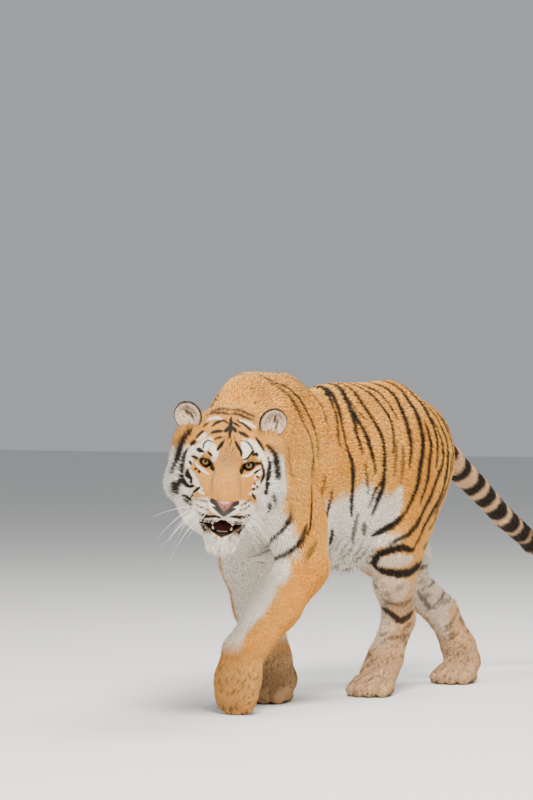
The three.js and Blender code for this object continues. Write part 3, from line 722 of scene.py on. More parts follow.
# Face strokes, as places (left, height up the brow), for its right half and then its left.
FACE = [
    ([(-43, -6), (-38, -18), (-36, -29)], 11.2), ([(43, -6), (38, -20), (37, -31)], 11.2),
    ([(-52, 196), (-31, 205), (-1, 202)], 16.8), ([(-60, 183), (-41, 185), (-13, 182), (0, 178)], 12.6),
    ([(-49, 120), (-35, 140), (-20, 147), (-7, 136)], 12.6), ([(-50, 94), (-34, 99), (-18, 101)], 15.4),
    ([(0, 123), (-12, 97)], 14.7), ([(0, 167), (1, 116), (0, 77)], 11.2),
    ([(-16, 65), (-22, 49), (-30, 34)], 11.2), ([(-38, 71), (-29, 75), (-19, 79)], 9.8),
    ([(-67, 38), (-66, 56), (-57, 67), (-45, 62)], 7), ([(-82, 45), (-75, 34), (-64, 27)], 11.9),
    ([(-54, 27), (-43, 15)], 8.4), ([(-99, 60), (-91, 78)], 15.4), ([(-87, 84), (-70, 110)], 11.9),
    ([(-70, 125), (-58, 144)], 8.4), ([(-96, 21), (-77, 11)], 11.2),
    ([(-100, 120), (-112, 102), (-127, 71), (-134, 25), (-145, -18)], 21),
    ([(-108, 53), (-115, 28), (-119, 2), (-120, -34), (-107, -65), (-92, -79)], 14),
    ([(-122, -48), (-121, -66)], 15.4), ([(-104, -23), (-103, -39), (-90, -57)], 14),
    ([(-100, 5), (-94, -11)], 9.1), ([(-141, -52), (-125, -88)], 21), ([(-84, -21), (-82, -29)], 9.1),
    ([(-74, -29), (-71, -38)], 9.1), ([(-93, -58), (-90, -68)], 9.8), ([(-92, -73), (-84, -82)], 9.8),
    ([(-84, -103), (-67, -88)], 11.2), ([(-74, -165), (-49, -182), (-9, -182)], 8.4),
    ([(-114, -95), (-82, -111)], 8.4), ([(-110, -105), (-85, -120)], 6.3),
    ([(-1, 202), (26, 205), (50, 196), (70, 190)], 16.8), ([(0, 178), (16, 184), (41, 175), (62, 171)], 12.6),
    ([(17, 155), (34, 143), (51, 126), (54, 119)], 12.6), ([(5, 143), (26, 125)], 11.2),
    ([(23, 104), (39, 96), (50, 91)], 15.4), ([(2, 124), (16, 100)], 14.7),
    ([(16, 68), (23, 54), (32, 40), (35, 22)], 9.8),
    ([(30, 72), (44, 73), (60, 58), (63, 39), (51, 19), (38, 13)], 7), ([(65, 30), (73, 38), (76, 32)], 14),
    ([(70, 99), (82, 82), (94, 63)], 12.6), ([(73, 11), (91, 13)], 11.9),
    ([(103, 84), (126, 60), (132, 31), (138, -3), (135, -20)], 21),
    ([(108, 44), (113, 12), (111, -25), (111, -53), (111, -71)], 14), ([(105, -74), (113, -67)], 15.4),
    ([(89, 18), (97, -6), (98, -26), (91, -51)], 9.8), ([(81, -32), (82, -38)], 11.2),
    ([(83, -63), (84, -68)], 9.8), ([(77, -56), (77, -62)], 8.4), ([(74, -72), (74, -80)], 9.1),
    ([(87, -8), (71, -24)], 7.7), ([(71, -93), (80, -109)], 9.8), ([(131, -67), (136, -85)], 14.7),
    ([(123, -95), (126, -112)], 16.1), ([(19, -180), (51, -177), (75, -162)], 8.4),
]
WHISKER_ROWS = [
    [(-78, -172), (-52, -191), (-14, -193)], [(78, -170), (50, -189), (16, -192)],
    [(-76, -130), (-59, -137), (-43, -141)], [(-77, -145), (-60, -159), (-42, -168)],
    [(43, -146), (56, -133), (67, -116)], [(41, -160), (56, -151), (70, -132)],
]
FACE_WHITE = [
    ([(-78, 21), (-70, 48), (-53, 70)], 38), ([(-44, 55), (-37, 30), (-38, 5)], 22),
    ([(-84, -3), (-65, -27), (-46, -41)], 9), ([(-62, 154), (-44, 162), (-25, 157)], 12),
    ([(-81, 76), (-64, 93)], 18), ([(-40, -139), (-30, -163), (-9, -178)], 17),
    ([(45, 14), (46, 45), (39, 74)], 28), ([(55, 79), (75, 64), (82, 29)], 26),
    ([(43, -38), (61, -30), (79, -6), (89, 3)], 10), ([(25, 156), (47, 150), (67, 142)], 14),
    ([(40, -137), (33, -161), (12, -179)], 18), ([(-92, 62), (-99, 22), (-97, -12)], 16),
    ([(-97, -28), (-72, -74)], 10), ([(-90, -56), (-62, -96)], 9), ([(-82, -88), (-55, -114)], 9),
    ([(84, 66), (99, 24), (98, -6)], 14), ([(95, -8), (75, -42)], 11), ([(97, -42), (70, -72)], 12),
    ([(92, -72), (64, -100)], 11),
]
WHISKER_ROW_WIDTH, BRIDGE_LINE_WIDTH = 7, 10
BRIDGE_LINES = [
    [(-30, -23), (-37, -68), (-37, -115)], [(28, -28), (38, -77), (39, -117)],
]


def face_marks(q):
    """Black, white and grey on the head, from its own left, forward and up."""
    left, up = q[:, 0], q[:, 2] - 0.6 * q[:, 1]
    out = np.abs(left)
    chart = np.stack([left, up], 1)
    uneven = np.stack([left + 1.2 * ripple(q[:, [1, 2]], 9), up + 1.2 * ripple(q[:, [0, 2]] + 40, 8)], 1)
    black = painted(uneven, FACE, 0.3) * smooth(-190, -165, q[:, 1])
    flecks = smooth(0.1, 0.45, ripple(np.stack([left * 1.5, up * 0.42], 1), 4.2))
    flecks *= smooth(22, 12, out) * smooth(26, 45, up) * smooth(92, 78, up)
    rows = painted(chart, [(row, WHISKER_ROW_WIDTH) for row in WHISKER_ROWS])
    rows *= smooth(-0.55, -0.1, ripple(chart, 3.2))
    chin = smooth(0.3, 0.55, ripple(q[:, [0, 2]], 5.5)) * smooth(60, 80, q[:, 1])
    chin *= smooth(-160, -166, q[:, 2]) * smooth(-186, -178, q[:, 2])
    black = np.maximum.reduce([black, flecks * 0.8, rows * 0.85, chin * 0.7])
    white = painted(chart, FACE_WHITE)
    cheek = smooth(90, 106, out + 3 * ripple(chart, 14) + 14 * smooth(-20, -90, up)) * smooth(78, 42, up)
    pad = np.maximum(smooth(-176, -184, up), 0.8 * smooth(-118, -136, up) * smooth(36, 50, out))
    pad *= smooth(40, 70, q[:, 1])
    low = smooth(-112, -132, up) * smooth(62, 40, q[:, 1]) + smooth(-140, -152, q[:, 2])
    white = np.clip(np.maximum.reduce([white, cheek, pad, low]), 0, 1)
    between_eyes = smooth(1.25, 0.2, np.hypot(out / 40, (up - 8) / 66))
    lines = painted(chart, [(line, BRIDGE_LINE_WIDTH) for line in BRIDGE_LINES])
    dark = np.maximum.reduce([0.36 + 0.1 * smooth(45, 20, out), 0.85 * between_eyes, 0.8 * lines])
    return black, white, dark * (1 - white)


def leg_chart(p):
    """The left hind leg unrolled: how far round from its front edge, then height."""
    line = np.array([JOINTS["left"][name] for name in ("hip", "knee", "hock", "ankle")], float)
    out = p - along_line(p, line)[1]
    return np.stack([65 * np.arctan2(out[:, 0], -out[:, 1]), p[:, 2]], 1)


# Places along the body, and how high up the white of the belly reaches there.
BELLY_LINE = ([-650, -420, -330, -250, -185, -126, -68, 20, 90, 160, 420],
              [470, 470, 555, 572, 580, 610, 588, 556, 530, 480, 470])


def body_marks(p, n, region):
    """Black, white and grey on the body, from the flank chart of its own side."""
    x, y, z = p.T
    side = np.where(x < 0, -1.0, 1.0)
    trunk, forelegs, hind = (np.isin(region, numbers) for numbers in ([0, 1], [3, 4], [5, 6]))

    chart = p[:, 1:].copy()
    chart[:, 0] += np.where(side < 0, 10 * np.sin(z / 90), 0)
    chart[:, 0] += 2.0 * ripple(p[:, 1:], 42) + 1.2 * ripple(p[:, 1:] + 70, 13)
    chart[:, 0] -= (17 + 0.95 * np.clip(680 - z, 0, 330)) * smooth(60, 220, y) * (side < 0)
    black = np.maximum(painted(chart, FLANK, 0.9), (side < 0) * painted(chart, RIGHT_NECK, 0.9))
    black *= np.where(forelegs, smooth(390, 430, z), 1) * np.where(hind & (z < 330), 0, 1)
    front = np.stack([np.abs(x), z], 1) + 1.5 * ripple(p[:, [0, 2]], 15)[:, None]
    facing_ahead = smooth(-0.2, -0.45, n[:, 1]) * smooth(-400, -440, y)
    black = np.maximum(black, facing_ahead * painted(front, CHEST, 0.8))
    for number, bands in ((5, LEFT_LEG), (6, RIGHT_SHIN)):
        here = region == number
        if here.any():
            q = leg_chart(p[here]) if number == 5 else p[here][:, 1:]
            black[here] = np.maximum(black[here], painted(q + 2 * ripple(q, 16)[:, None], bands, 1.5))

    belly_line = np.interp(y, *BELLY_LINE)
    belly = trunk * smooth(belly_line + 26, belly_line - 22, z + 8 * ripple(p[:, 1:], 28))
    throat = trunk * smooth(0.1, -0.5, n[:, 2]) * smooth(-380, -480, y) * smooth(760, 640, z)
    chest = smooth(0.92, 0.66, side * n[:, 0] + 0.12 * ripple(p[:, 1:], 24))
    chest *= smooth(-380, -440, y) * smooth(610, 560, z) * np.maximum(trunk, smooth(400, 450, z) * (region == 3))
    inward = -side * n[:, 0]
    inside_fore = smooth(-0.62, -0.34, inward + 0.10 * ripple(p[:, [1, 2]], 20))
    inside_fore *= smooth(150, 215, z) * smooth(540, 440, z) * forelegs
    shin_front = smooth(-0.45, -0.8, n[:, 1] + 0.2 * side * n[:, 0]) * smooth(470, 400, z)
    inside_hind = np.maximum(smooth(0.1, 0.5, inward), 0.7 * shin_front) * smooth(90, 160, z) * hind
    thigh_front = brushed(p[:, 1:], [(40, 590), (0, 540), (-45, 500)], 75) * np.isin(region, [0, 5, 6])
    white = np.maximum.reduce([belly, throat, chest, inside_fore, inside_hind, 0.85 * thigh_front])
    left_leg = region == 5
    if left_leg.any():
        q = leg_chart(p[left_leg])
        patches = 0.7 * painted(q + 3 * ripple(q, 14)[:, None], LEFT_LEG_WHITE)
        white[left_leg] = np.maximum(white[left_leg], patches)

    belly_streaks = smooth(0.0, 0.45, ripple(np.stack([y, x * 0.6], 1), 9)) * smooth(-0.35, -0.75, n[:, 2]) * trunk
    belly_streaks *= smooth(-400, -330, y) * smooth(160, 60, y)
    low_hind = hind * smooth(430, 250, z)
    mottle = ripple(p[:, [0, 2]] + p[:, [1, 1]] * 0.6, 19) + 0.8 * ripple(p[:, [2, 1]] - p[:, [0, 0]] * 0.5, 8)
    paws = (forelegs | hind) * smooth(215, 95, z)
    speckle = ripple(p[:, [0, 2]] + p[:, [1, 1]], 6) + 0.6 * ripple(p[:, [2, 1]] - p[:, [0, 0]], 13)
    black = np.maximum.reduce([
        black, 0.8 * belly_streaks, 0.62 * smooth(0.1, 0.9, mottle) * low_hind * smooth(60, 120, z),
        0.6 * smooth(0.1, 0.9, speckle) * paws * smooth(0.45, -0.3, n[:, 1]),
    ])
    white = np.maximum.reduce([white * (1 - 0.4 * low_hind), 0.2 * low_hind,
                               np.where(region == 3, 0.04, 0.15) * paws])
    saddle = smooth(830, 880, z) * smooth(-60, -250, y)
    grey = np.maximum.reduce([
        0.72 * low_hind * (1 - 0.25 * smooth(0.2, 0.7, side * n[:, 0])), np.where(region == 3, 0.36, 0.65) * paws,
        # Painted shade: a grey-brown tone over the whole right foreleg, which stands behind the left one.
        0.3 * (region == 4), 0.3 * saddle,
    ])
    return black, white, grey


RING_STEPS = [40, 88, 92, 88, 84, 78, 76, 72, 66, 62, 60]    # from the tail's root on, ring by ring


def tail_marks(p):
    """Broad rings, closer together and blacker towards the tip, which is black."""
    along = along_line(p, TAIL_LINE)[0]
    rings = np.zeros(len(p))
    for middle in np.cumsum(RING_STEPS):
        wide = 15 + 0.016 * middle
        off = np.abs(along - middle + 7 * ripple(p[:, [0, 2]], 22))
        rings = np.maximum(rings, smooth(wide + 7, wide - 5, off))
    black = np.maximum(rings, smooth(900, 930, along))
    return black, smooth(100, 300, along) * 0.28, 0.35 + 0 * along


def marks_at(p, n, region):
    """Black, white and grey for points anywhere on the coat or the hide."""
    black, white, grey = body_marks(p, n, region)
    q = to_head(p)
    head_share = smooth(-190, -150, q[:, 1]) * (np.abs(q[:, 0]) < 260)
    on_ear = np.isin(region, [8, 9])
    head_share = np.where(on_ear, 1.0, head_share * np.isin(region, [1, 2]))
    for values, face in zip((black, white, grey), face_marks(q)):
        values[:] = values * (1 - head_share) + face * head_share
    on_tail = region == 7
    if on_tail.any():
        for values, ring in zip((black, white, grey), tail_marks(p[on_tail])):
            values[on_tail] = ring
    for number, side in ((8, 1), (9, -1)):
        ear_here = region == number
        if ear_here.any():
            for values, mark in zip((black, white, grey), ear_marks(p[ear_here], n[ear_here], side)):
                values[ear_here] = mark
    return np.stack([black, white, grey], 1)


def ear_marks(p, n, side):
    """Pale grey inside with a black rim; black behind with a white spot."""
    rows = ear_rows(side)
    q = (p - ear_centre(side)) @ rows.T
    r = np.hypot(q[:, 0] / EAR_RADII[0], q[:, 2] / EAR_RADII[2])
    behind = smooth(0.1, -0.1, n @ rows[1]) * smooth(14, 4, q[:, 1])
    spot = smooth(15, 11, np.hypot(q[:, 0], q[:, 2] - 2))
    rim = smooth(0.85, 0.92, r) * smooth(-30, -18, q[:, 2])
    streaks = smooth(0.0, 0.4, ripple(np.stack([q[:, 0] + 0.5 * q[:, 2], q[:, 2] * 0.35], 1), 6))
    inside = np.maximum(rim, 0.85 * streaks * smooth(0.8, 0.5, r))
    black = np.maximum(inside * (1 - behind), behind * (1 - spot))
    return black, np.where(behind > 0.5, spot, 0.5), np.where(behind > 0.5, 0, 0.6)


TAIL_LINE = np.array([place for place, _ in TAIL_STATIONS], float)


def along_line(p, line):
    """How far along a line each point is, and the direction out from it."""
    best, along, foot = np.full(len(p), 1e9), np.zeros(len(p)), np.zeros((len(p), 3))
    start = 0.0
    for a, b in zip(line, line[1:]):
        d = b - a
        u = np.clip(((p - a) @ d) / (d @ d), 0, 1)
        place = a + u[:, None] * d
        gap = np.linalg.norm(p - place, axis=1)
        closer = gap < best
        best[closer], foot[closer] = gap[closer], place[closer]
        along[closer] = start + u[closer] * np.linalg.norm(d)
        start += np.linalg.norm(d)
    return along, foot


LEFT, RIGHT = JOINTS["left"], JOINTS["right"]
MOUTH = mouth_opening()
LIPS = lips()
BODY_PARTS = (
    trunk() + neck() + shoulder(LEFT) + shoulder(RIGHT)
    + foreleg(LEFT, "foreleg_left") + foreleg(RIGHT, "foreleg_right") + hanging_paw(LEFT, "foreleg_left")
    + standing_paw(RIGHT["wrist"], RIGHT["fore_pad"], RIGHT["fore_heading"], "foreleg_right")
    + hindleg(LEFT, "hindleg_left") + standing_paw(LEFT["ankle"], LEFT["pad"], LEFT["heading"], "hindleg_left")
    + hindleg(RIGHT, "hindleg_right")
    + standing_paw(RIGHT["ankle"], RIGHT["pad"], RIGHT["heading"], "hindleg_right")
    + tail() + head() + MOUTH + LIPS + face_lines()
)
HAIRY = [p for p in BODY_PARTS if not p.cut]
eye_low, eye_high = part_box("eye_left")
# From the animal's own frame to the shared one.
SHIFT = np.array((eye_low + eye_high) / 2) * 1000 - eye_centre(1)


def nearness(p, parts):
    return np.min([np.abs(part.distance(p)) for part in parts], axis=0)


def bare_places(p):
    """How far each place belongs to the black lips, and to the dark red lining of the mouth."""
    q = to_head(p)
    lining = nearness(p, MOUTH)
    inside = smooth(2.5, 1.0, lining) * smooth(95, 82, q[:, 1])
    edge_of_upper = -132 - 0.22 * np.maximum(np.abs(q[:, 0]) - 24, 0)
    on_lower = (q[:, 2] < -149) & (q[:, 2] > -172)
    on_upper = np.abs(q[:, 2] - edge_of_upper) < 5
    lips = smooth(3.0, 1.5, nearness(p, LIPS)) * ((q[:, 1] > 20) & (on_lower | on_upper))
    corners = (np.abs(q[:, 0]) > 34) & (q[:, 2] < -131) & (q[:, 2] > -166) & (q[:, 1] > 20)
    lips = np.maximum(lips, smooth(4 + 4 * corners, 2 + 4 * corners, lining) * (q[:, 1] > 0))
    return lips, inside


def bare_marks(p, black, white, grey):
    """The markings with the bare skin put in: black, and for the lining of the mouth a grey above one."""
    bare, inside = bare_places(p)
    return np.maximum(black, bare), white * (1 - bare), np.where(inside > 0.5, 2.0, grey)


skin_points, skin_triangles = skin_shape(BODY_PARTS)
skin_points[:, 2] = np.maximum(skin_points[:, 2], 0)    # the soles press flat on the floor
skin_normals = vertex_normals(skin_points, skin_triangles)
_, _, _, skin_region = lay(skin_points, HAIRY)
skin_marks = np.stack(bare_marks(skin_points, *marks_at(skin_points, skin_normals, skin_region).T), 1)

EAR_CELL, LID_CELL = 2.8, 1.5
SIDES = (1, -1)
shells = []
for side in SIDES:
    points, triangles = shell_shape(ear(side), EAR_CELL)
    normals = vertex_normals(points, triangles)
    marks = marks_at(points, normals, np.full(len(points), REGIONS.index(ear_name(side))))
    shells.append((points, triangles, normals, marks))
for side in SIDES:
    points, triangles = shell_shape([lids(side)], LID_CELL)
    normals = vertex_normals(points, triangles)
    q = (points - eye_centre(side)) @ eye_rows(side).T
    gap = lid_gap(q[:, 0] * side, q[:, 2])
    edge = gap - 1.5 * (q[:, 2] > 0) - 4 * smooth(-8, -15, q[:, 0] * side) - 2 * smooth(10, 16, q[:, 0] * side)
    marks = marks_at(points, normals, np.full(len(points), REGIONS.index("head")))
    marks[:, 0] = np.maximum(marks[:, 0], smooth(6.0, 4.6, edge))
    shells.append((points, triangles, normals, marks))


def joined(pieces):
    start, triangles = 0, []
    for points, faces, *_ in pieces:
        triangles.append(faces + start)
        start += len(points)
    return np.concatenate([p[0] for p in pieces]), np.concatenate(triangles)


def plain_mesh(name, points, triangles):
    mesh = bpy.data.meshes.new(name)
    mesh.vertices.add(len(points))
    mesh.vertices.foreach_set("co", to_frame(points).astype(np.float32).ravel())
    mesh.loops.add(triangles.size)
    mesh.loops.foreach_set("vertex_index", triangles.astype(np.int32).ravel())
    mesh.polygons.add(len(triangles))
    mesh.polygons.foreach_set("loop_start", np.arange(0, triangles.size, 3, dtype=np.int32))
    mesh.polygons.foreach_set("use_smooth", np.ones(len(triangles), bool))
    mesh.update(calc_edges=True)
    return mesh


def placed(name, data):
    thing = bpy.data.objects.new(name, data)
    bpy.context.scene.collection.objects.link(thing)
    return thing


def piece(name, mesh, material=None, stands_for=()):
    thing = placed(name, mesh)
    if material:
        mesh.materials.append(material)
    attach(thing, "root")
    if stands_for:
        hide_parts(*stands_for)
    return thing


def node(tree, kind, place=(0, 0), values=None, **settings):
    """A node at a place on the sheet, with values for its named or numbered inputs."""
    found = tree.nodes.new(kind)
    found.location = place
    for key, value in settings.items():
        setattr(found, key, value)
    for key, value in (values or {}).items():
        found.inputs[key].default_value = value
    return found


def wire(tree, *pairs):
    for a, b in pairs:
        tree.links.new(a, b)


def new_material(name, **values):
    material = bpy.data.materials.new(name)
    material.use_nodes = True
    tree = material.node_tree
    tree.nodes.clear()
    shader = node(tree, "ShaderNodeBsdfPrincipled", (600, 0), {k.replace("_", " "): v for k, v in values.items()})
    out = node(tree, "ShaderNodeOutputMaterial", (900, 0))
    wire(tree, (shader.outputs[0], out.inputs[0]))
    return material, tree, shader


def on_object(tree, kind, scale, **values):
    """A texture fixed to the object, as a number at each place."""
    place = node(tree, "ShaderNodeTexCoord", (-800, -250))
    texture = node(tree, kind, (-600, -250), {"Scale": scale, **values})
    wire(tree, (place.outputs["Object"], texture.inputs["Vector"]))
    return texture.outputs[0]


def bumped(tree, shader, height, strength, distance):
    bump = node(tree, "ShaderNodeBump", (200, -250), {"Strength": strength, "Distance": distance})
    wire(tree, (height, bump.inputs["Height"]), (bump.outputs[0], shader.inputs["Normal"]))


def blend(tree, a, b, factor, place=(0, 100)):
    """A mix of two colours, each a socket or a plain value."""
    mix = node(tree, "ShaderNodeMix", place, data_type="RGBA")
    for socket, value in ((mix.inputs[6], a), (mix.inputs[7], b), (mix.inputs[0], factor)):
        if isinstance(value, tuple):
            socket.default_value = (*value, 1)
        else:
            tree.links.new(value, socket)
    return mix.outputs[2]


def ranged(tree, value, low, high, to_low, to_high, place=(-300, -250)):
    step = node(tree, "ShaderNodeMapRange", place, {1: low, 2: high, 3: to_low, 4: to_high})
    tree.links.new(value, step.inputs[0])
    return step.outputs[0]


def scaled(tree, colour, factor, place=(0, 0)):
    made = node(tree, "ShaderNodeVectorMath", place, operation="SCALE")
    wire(tree, (colour, made.inputs[0]), (factor, made.inputs[3]))
    return made.outputs[0]


COAT_COLOURS = {
    "Orange": (0.82, 0.345, 0.045), "Pale orange": (0.90, 0.45, 0.09), "Grey brown": (0.40, 0.22, 0.085),
    "White": (0.95, 0.88, 0.76), "Black": (0.020, 0.013, 0.010), "Flesh": (0.16, 0.035, 0.025),
}


def hair_colour_group():
    """Orange hair, changed by the markings: grey-brown first, then white, then black, with painted shade darkening
    the roots.
    """
    tree = bpy.data.node_groups.new("tiger_hair_colour", "ShaderNodeTree")
    kinds = {"Marks": "Color", "Root to tip": "Float", "Place": "Vector"} | dict.fromkeys(COAT_COLOURS, "Color")
    for name, kind in kinds.items():
        tree.interface.new_socket(name, in_out="INPUT", socket_type="NodeSocket" + kind)
    tree.interface.new_socket("Colour", in_out="OUTPUT", socket_type="NodeSocketColor")
    start, end = node(tree, "NodeGroupInput", (-900, 0)), node(tree, "NodeGroupOutput", (900, 0))
    given = start.outputs
    marks = node(tree, "ShaderNodeSeparateColor", (-600, 200))
    broad = node(tree, "ShaderNodeTexNoise", (-600, -200), {"Scale": 7})
    fine = node(tree, "ShaderNodeTexNoise", (-600, -450), {"Scale": 160})
    wire(tree, (given["Marks"], marks.inputs[0]), (given["Place"], broad.inputs["Vector"]),
         (given["Place"], fine.inputs["Vector"]))
    black, white, grey = marks.outputs[0], marks.outputs[1], marks.outputs[2]
    patchy = ranged(tree, broad.outputs[0], 0.38, 0.62, 0, 1, (-380, -200))
    in_mouth = ranged(tree, grey, 1.2, 1.8, 0, 1, (300, -250))
    colour = blend(tree, given["Orange"], given["Pale orange"], patchy, (-150, 200))
    over = (("Grey brown", grey), ("White", white), ("Black", black), ("Flesh", in_mouth))
    for i, (name, mark) in enumerate(over):
        colour = blend(tree, colour, given[name], mark, (50 + 170 * i, 150 - 50 * i))
    # Painted shade along each hair, darker at the root and a little lighter at the tip, times a fine random change
    # of tone.
    shade = node(tree, "ShaderNodeMath", (100, -450), operation="MULTIPLY")
    wire(tree, (ranged(tree, fine.outputs[0], 0.3, 0.7, 0.82, 1.14, (-380, -450)), shade.inputs[0]),
         (ranged(tree, given["Root to tip"], 0.05, 0.9, 0.80, 1.05, (-380, -650)), shade.inputs[1]),
         (scaled(tree, colour, shade.outputs[0], (720, 0)), end.inputs[0]))
    return tree


hair_colour = hair_colour_group()


def hair_material(name, roughness):
    material, tree, shader = new_material(name, Roughness=roughness, Specular_IOR_Level=0.12)
    marks = node(tree, "ShaderNodeAttribute", (-400, 200), attribute_name="marks")
    place = node(tree, "ShaderNodeTexCoord", (-400, -100))
    colour = node(tree, "ShaderNodeGroup", (200, 100), node_tree=hair_colour)
    for key, value in COAT_COLOURS.items():
        colour.inputs[key].default_value = (*value, 1)
    wire(tree, (marks.outputs["Color"], colour.inputs["Marks"]),
         (marks.outputs["Alpha"], colour.inputs["Root to tip"]),
         (place.outputs["Object"], colour.inputs["Place"]), (colour.outputs[0], shader.inputs["Base Color"]))
    return material, tree, shader


hide_material, tree, shader = hair_material("hide", 0.75)
bumped(tree, shader, on_object(tree, "ShaderNodeTexNoise", 420, Detail=4), 0.5, 0.002)

layers = [(skin_points, skin_triangles, skin_normals, skin_marks)] + shells
points, triangles = joined(layers)
hide_mesh = plain_mesh("hide", points, triangles)
# The hide counts as partway up the hair, so it takes part of the painted shade of the roots.
paint(hide_mesh, np.concatenate([marks for *_, marks in layers]), np.full(len(points), 0.45))
flesh = [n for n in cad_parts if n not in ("eye_left", "eye_right", "nose", "tongue")]
piece("hide", hide_mesh, hide_material, flesh)

# ---------- the coat ----------
# The fur: thin closed tufts rooted in the hide, lying the way the hair runs and overlapping like
# shingles, shortest on the face and feet. Each region of the body is its own piece.
UNWRAP_LINES = {
    "trunk": [(0, -660, 620), (0, -280, 636), (0, 168, 644), (0, 400, 720)],
    "neck": [(0, -448, 700), (84, -622, 690), tuple(in_head(0, -170, -10)), tuple(in_head(0, 0, -10))],
    "foreleg_left": [LEFT["shoulder"], LEFT["elbow"], LEFT["wrist"], LEFT["paw_tip"]],
    "foreleg_right": [RIGHT["shoulder"], RIGHT["elbow"], RIGHT["wrist"], (-60, -330, 20)],
    "hindleg_left": [LEFT["hip"], LEFT["knee"], LEFT["hock"], LEFT["ankle"], (66, 10, 20)],
    "hindleg_right": [RIGHT["hip"], RIGHT["knee"], RIGHT["hock"], RIGHT["ankle"], (26, 520, 20)],
    "tail": TAIL_LINE,
}


def unwrapped(p, region):
    """Where each root lies on a flat plan: by length and turn for a limb, by bearing for the head."""
    if region in UNWRAP_LINES:
        line = np.array(UNWRAP_LINES[region], float)
        along, foot = along_line(p, line)
        whole = np.linalg.norm(np.diff(line, axis=0), axis=1).sum()
        out = p - foot
        turn = np.arctan2(out[:, 0], out[:, 2] if region in ("trunk", "neck", "tail") else -out[:, 1])
        beyond = np.sign(along / whole - 0.5) * ((along < 1) | (along > whole - 1))
        ends = 0.06 * np.linalg.norm(out, axis=1) / 100 * beyond
        length = np.clip(0.1 + 0.8 * along / whole + ends, 0.01, 0.99)
        return np.stack([length, 0.5 + turn / (2 * np.pi) * 0.97], 1)
    if region.startswith("ear"):
        side = 1 if region == "ear_left" else -1
        q = (p - ear_centre(side)) @ ear_rows(side).T
        return np.stack([np.where(q[:, 1] > -6, 0.25, 0.75) + q[:, 0] / 180, 0.5 + q[:, 2] / 110], 1)
    q = to_head(p) - (0, -60, -20)
    flat = np.arctan2(np.hypot(q[:, 0], q[:, 2]), q[:, 1]) / np.pi
    turn = np.arctan2(q[:, 0], q[:, 2])
    return np.stack([0.5 + 0.48 * flat * np.sin(turn), 0.5 + 0.48 * flat * np.cos(turn)], 1)


def roots(points, triangles, share, seed):
    """Even, slightly shaken places for tufts: as many as each triangle's area and share ask for."""
    rng = np.random.default_rng(seed)
    a, b, c = (points[triangles[:, i]] for i in range(3))
    cross = np.cross(b - a, c - a)
    area = np.linalg.norm(cross, axis=1) / 2
    total = np.cumsum(area * share)
    places = np.arange(int(total[-1])) + rng.random(int(total[-1]))
    which = np.searchsorted(total, places[places < total[-1]])
    u, v = rng.random(len(which)), rng.random(len(which))
    u, v = np.where(u + v > 1, 1 - u, u), np.where(u + v > 1, 1 - v, v)
    at = a[which] + (b - a)[which] * u[:, None] + (c - a)[which] * v[:, None]
    return at, which, u, v


TUFT_SWING = 0.12        # how far tufts swing from the lie of the coat, in radians
TUFT_BEND = 0.07         # how far their tips bend aside, as a share of their length
ROOT_DEPTH = 1.2


def tuft_corners(at, normal, lie, hair, depth, width, seed):
    """Thin closed spindles: a root in the skin, a flat keeled middle and a fine tip lying along the coat."""
    rng = np.random.default_rng(seed)
    n = len(at)
    along = unit(lie - normal * (lie * normal).sum(1)[:, None])
    across = np.cross(normal, along)
    along = unit(along + across * rng.normal(0, TUFT_SWING, n)[:, None])
    across = np.cross(normal, along)
    length = hair * rng.uniform(0.8, 1.2, n)
    rise = np.clip(depth / hair * rng.uniform(0.75, 1.2, n), 0.03, 0.9)
    first, last = np.clip(1.4 * rise, 0, 0.95), 0.65 * rise
    middle = at + (along * np.sqrt(1 - first ** 2)[:, None] + normal * first[:, None]) * (0.4 * length)[:, None]
    tip = middle + (along * np.sqrt(1 - last ** 2)[:, None] + normal * last[:, None]) * (0.6 * length)[:, None]
    tip += across * (rng.normal(0, TUFT_BEND, n) * length)[:, None]
    half = (width * rng.uniform(0.75, 1.25, n) / 2)[:, None]
    return np.stack([at - normal * ROOT_DEPTH, middle + across * half, middle - across * half,
                     middle + normal * half * 0.4, tip], 1)


PATCH = 0.0015           # half the size of a tuft's patch on the bake map
TUFT_FACES = np.array([[0, 1, 3], [0, 3, 2], [0, 2, 1], [4, 3, 1], [4, 2, 3], [4, 1, 2]])


def tuft_mesh(name, corners, patch, marks):
    """Joins tufts into one mesh, each with markings, painted shade darker at the root, and its own patch of the
    bake map.
    """
    n = len(corners)
    index = (TUFT_FACES[None] + 5 * np.arange(n)[:, None, None]).reshape(-1, 3)
    mesh = plain_mesh(name, corners.reshape(-1, 3), index)
    corner_uv = np.array([[-1.0, 0], [0, -1], [0, 1], [0.3, 0], [1, 0]]) * PATCH
    uv = (patch[:, None] + corner_uv[None]).reshape(-1, 2)
    mesh.uv_layers.new(name="OFBake").data.foreach_set("uv", uv[index.ravel()].astype(np.float32).ravel())
    # The last numbers say how far each corner is from root to tip, for the painted shade that darkens the roots.
    paint(mesh, marks[:, [0, 1, 1, 1, 2]].reshape(-1, 3), np.tile([0, 0.45, 0.45, 0.5, 1], n))
    return mesh


EYE_BARE = 24.5          # no tufts grow nearer than this to the middle of an eye
NOSE_PLACE = (0, 119, -79)


def bare_of_tufts(at, n):
    """Where no tufts grow: the lips, the mouth, round the eyes, the nose and the soles."""
    q = to_head(at)
    bare = np.zeros(len(at), bool)
    near = q[:, 1] > -60
    bare[near] = (bare_places(at[near])[0] > 0.5) | (nearness(at[near], MOUTH) < 2.0)
    for side in SIDES:
        bare |= np.linalg.norm(at - eye_centre(side), axis=1) < EYE_BARE
    x, y, z = (q - NOSE_PLACE).T
    nose = (np.hypot(np.hypot(x / 37, y / 25), (z + 2) / 23) < 1.0) & (np.abs(x) < 16 + 0.85 * (z + 20))
    return bare | nose | ((at[:, 2] < 4) & (n[:, 2] < -0.7))


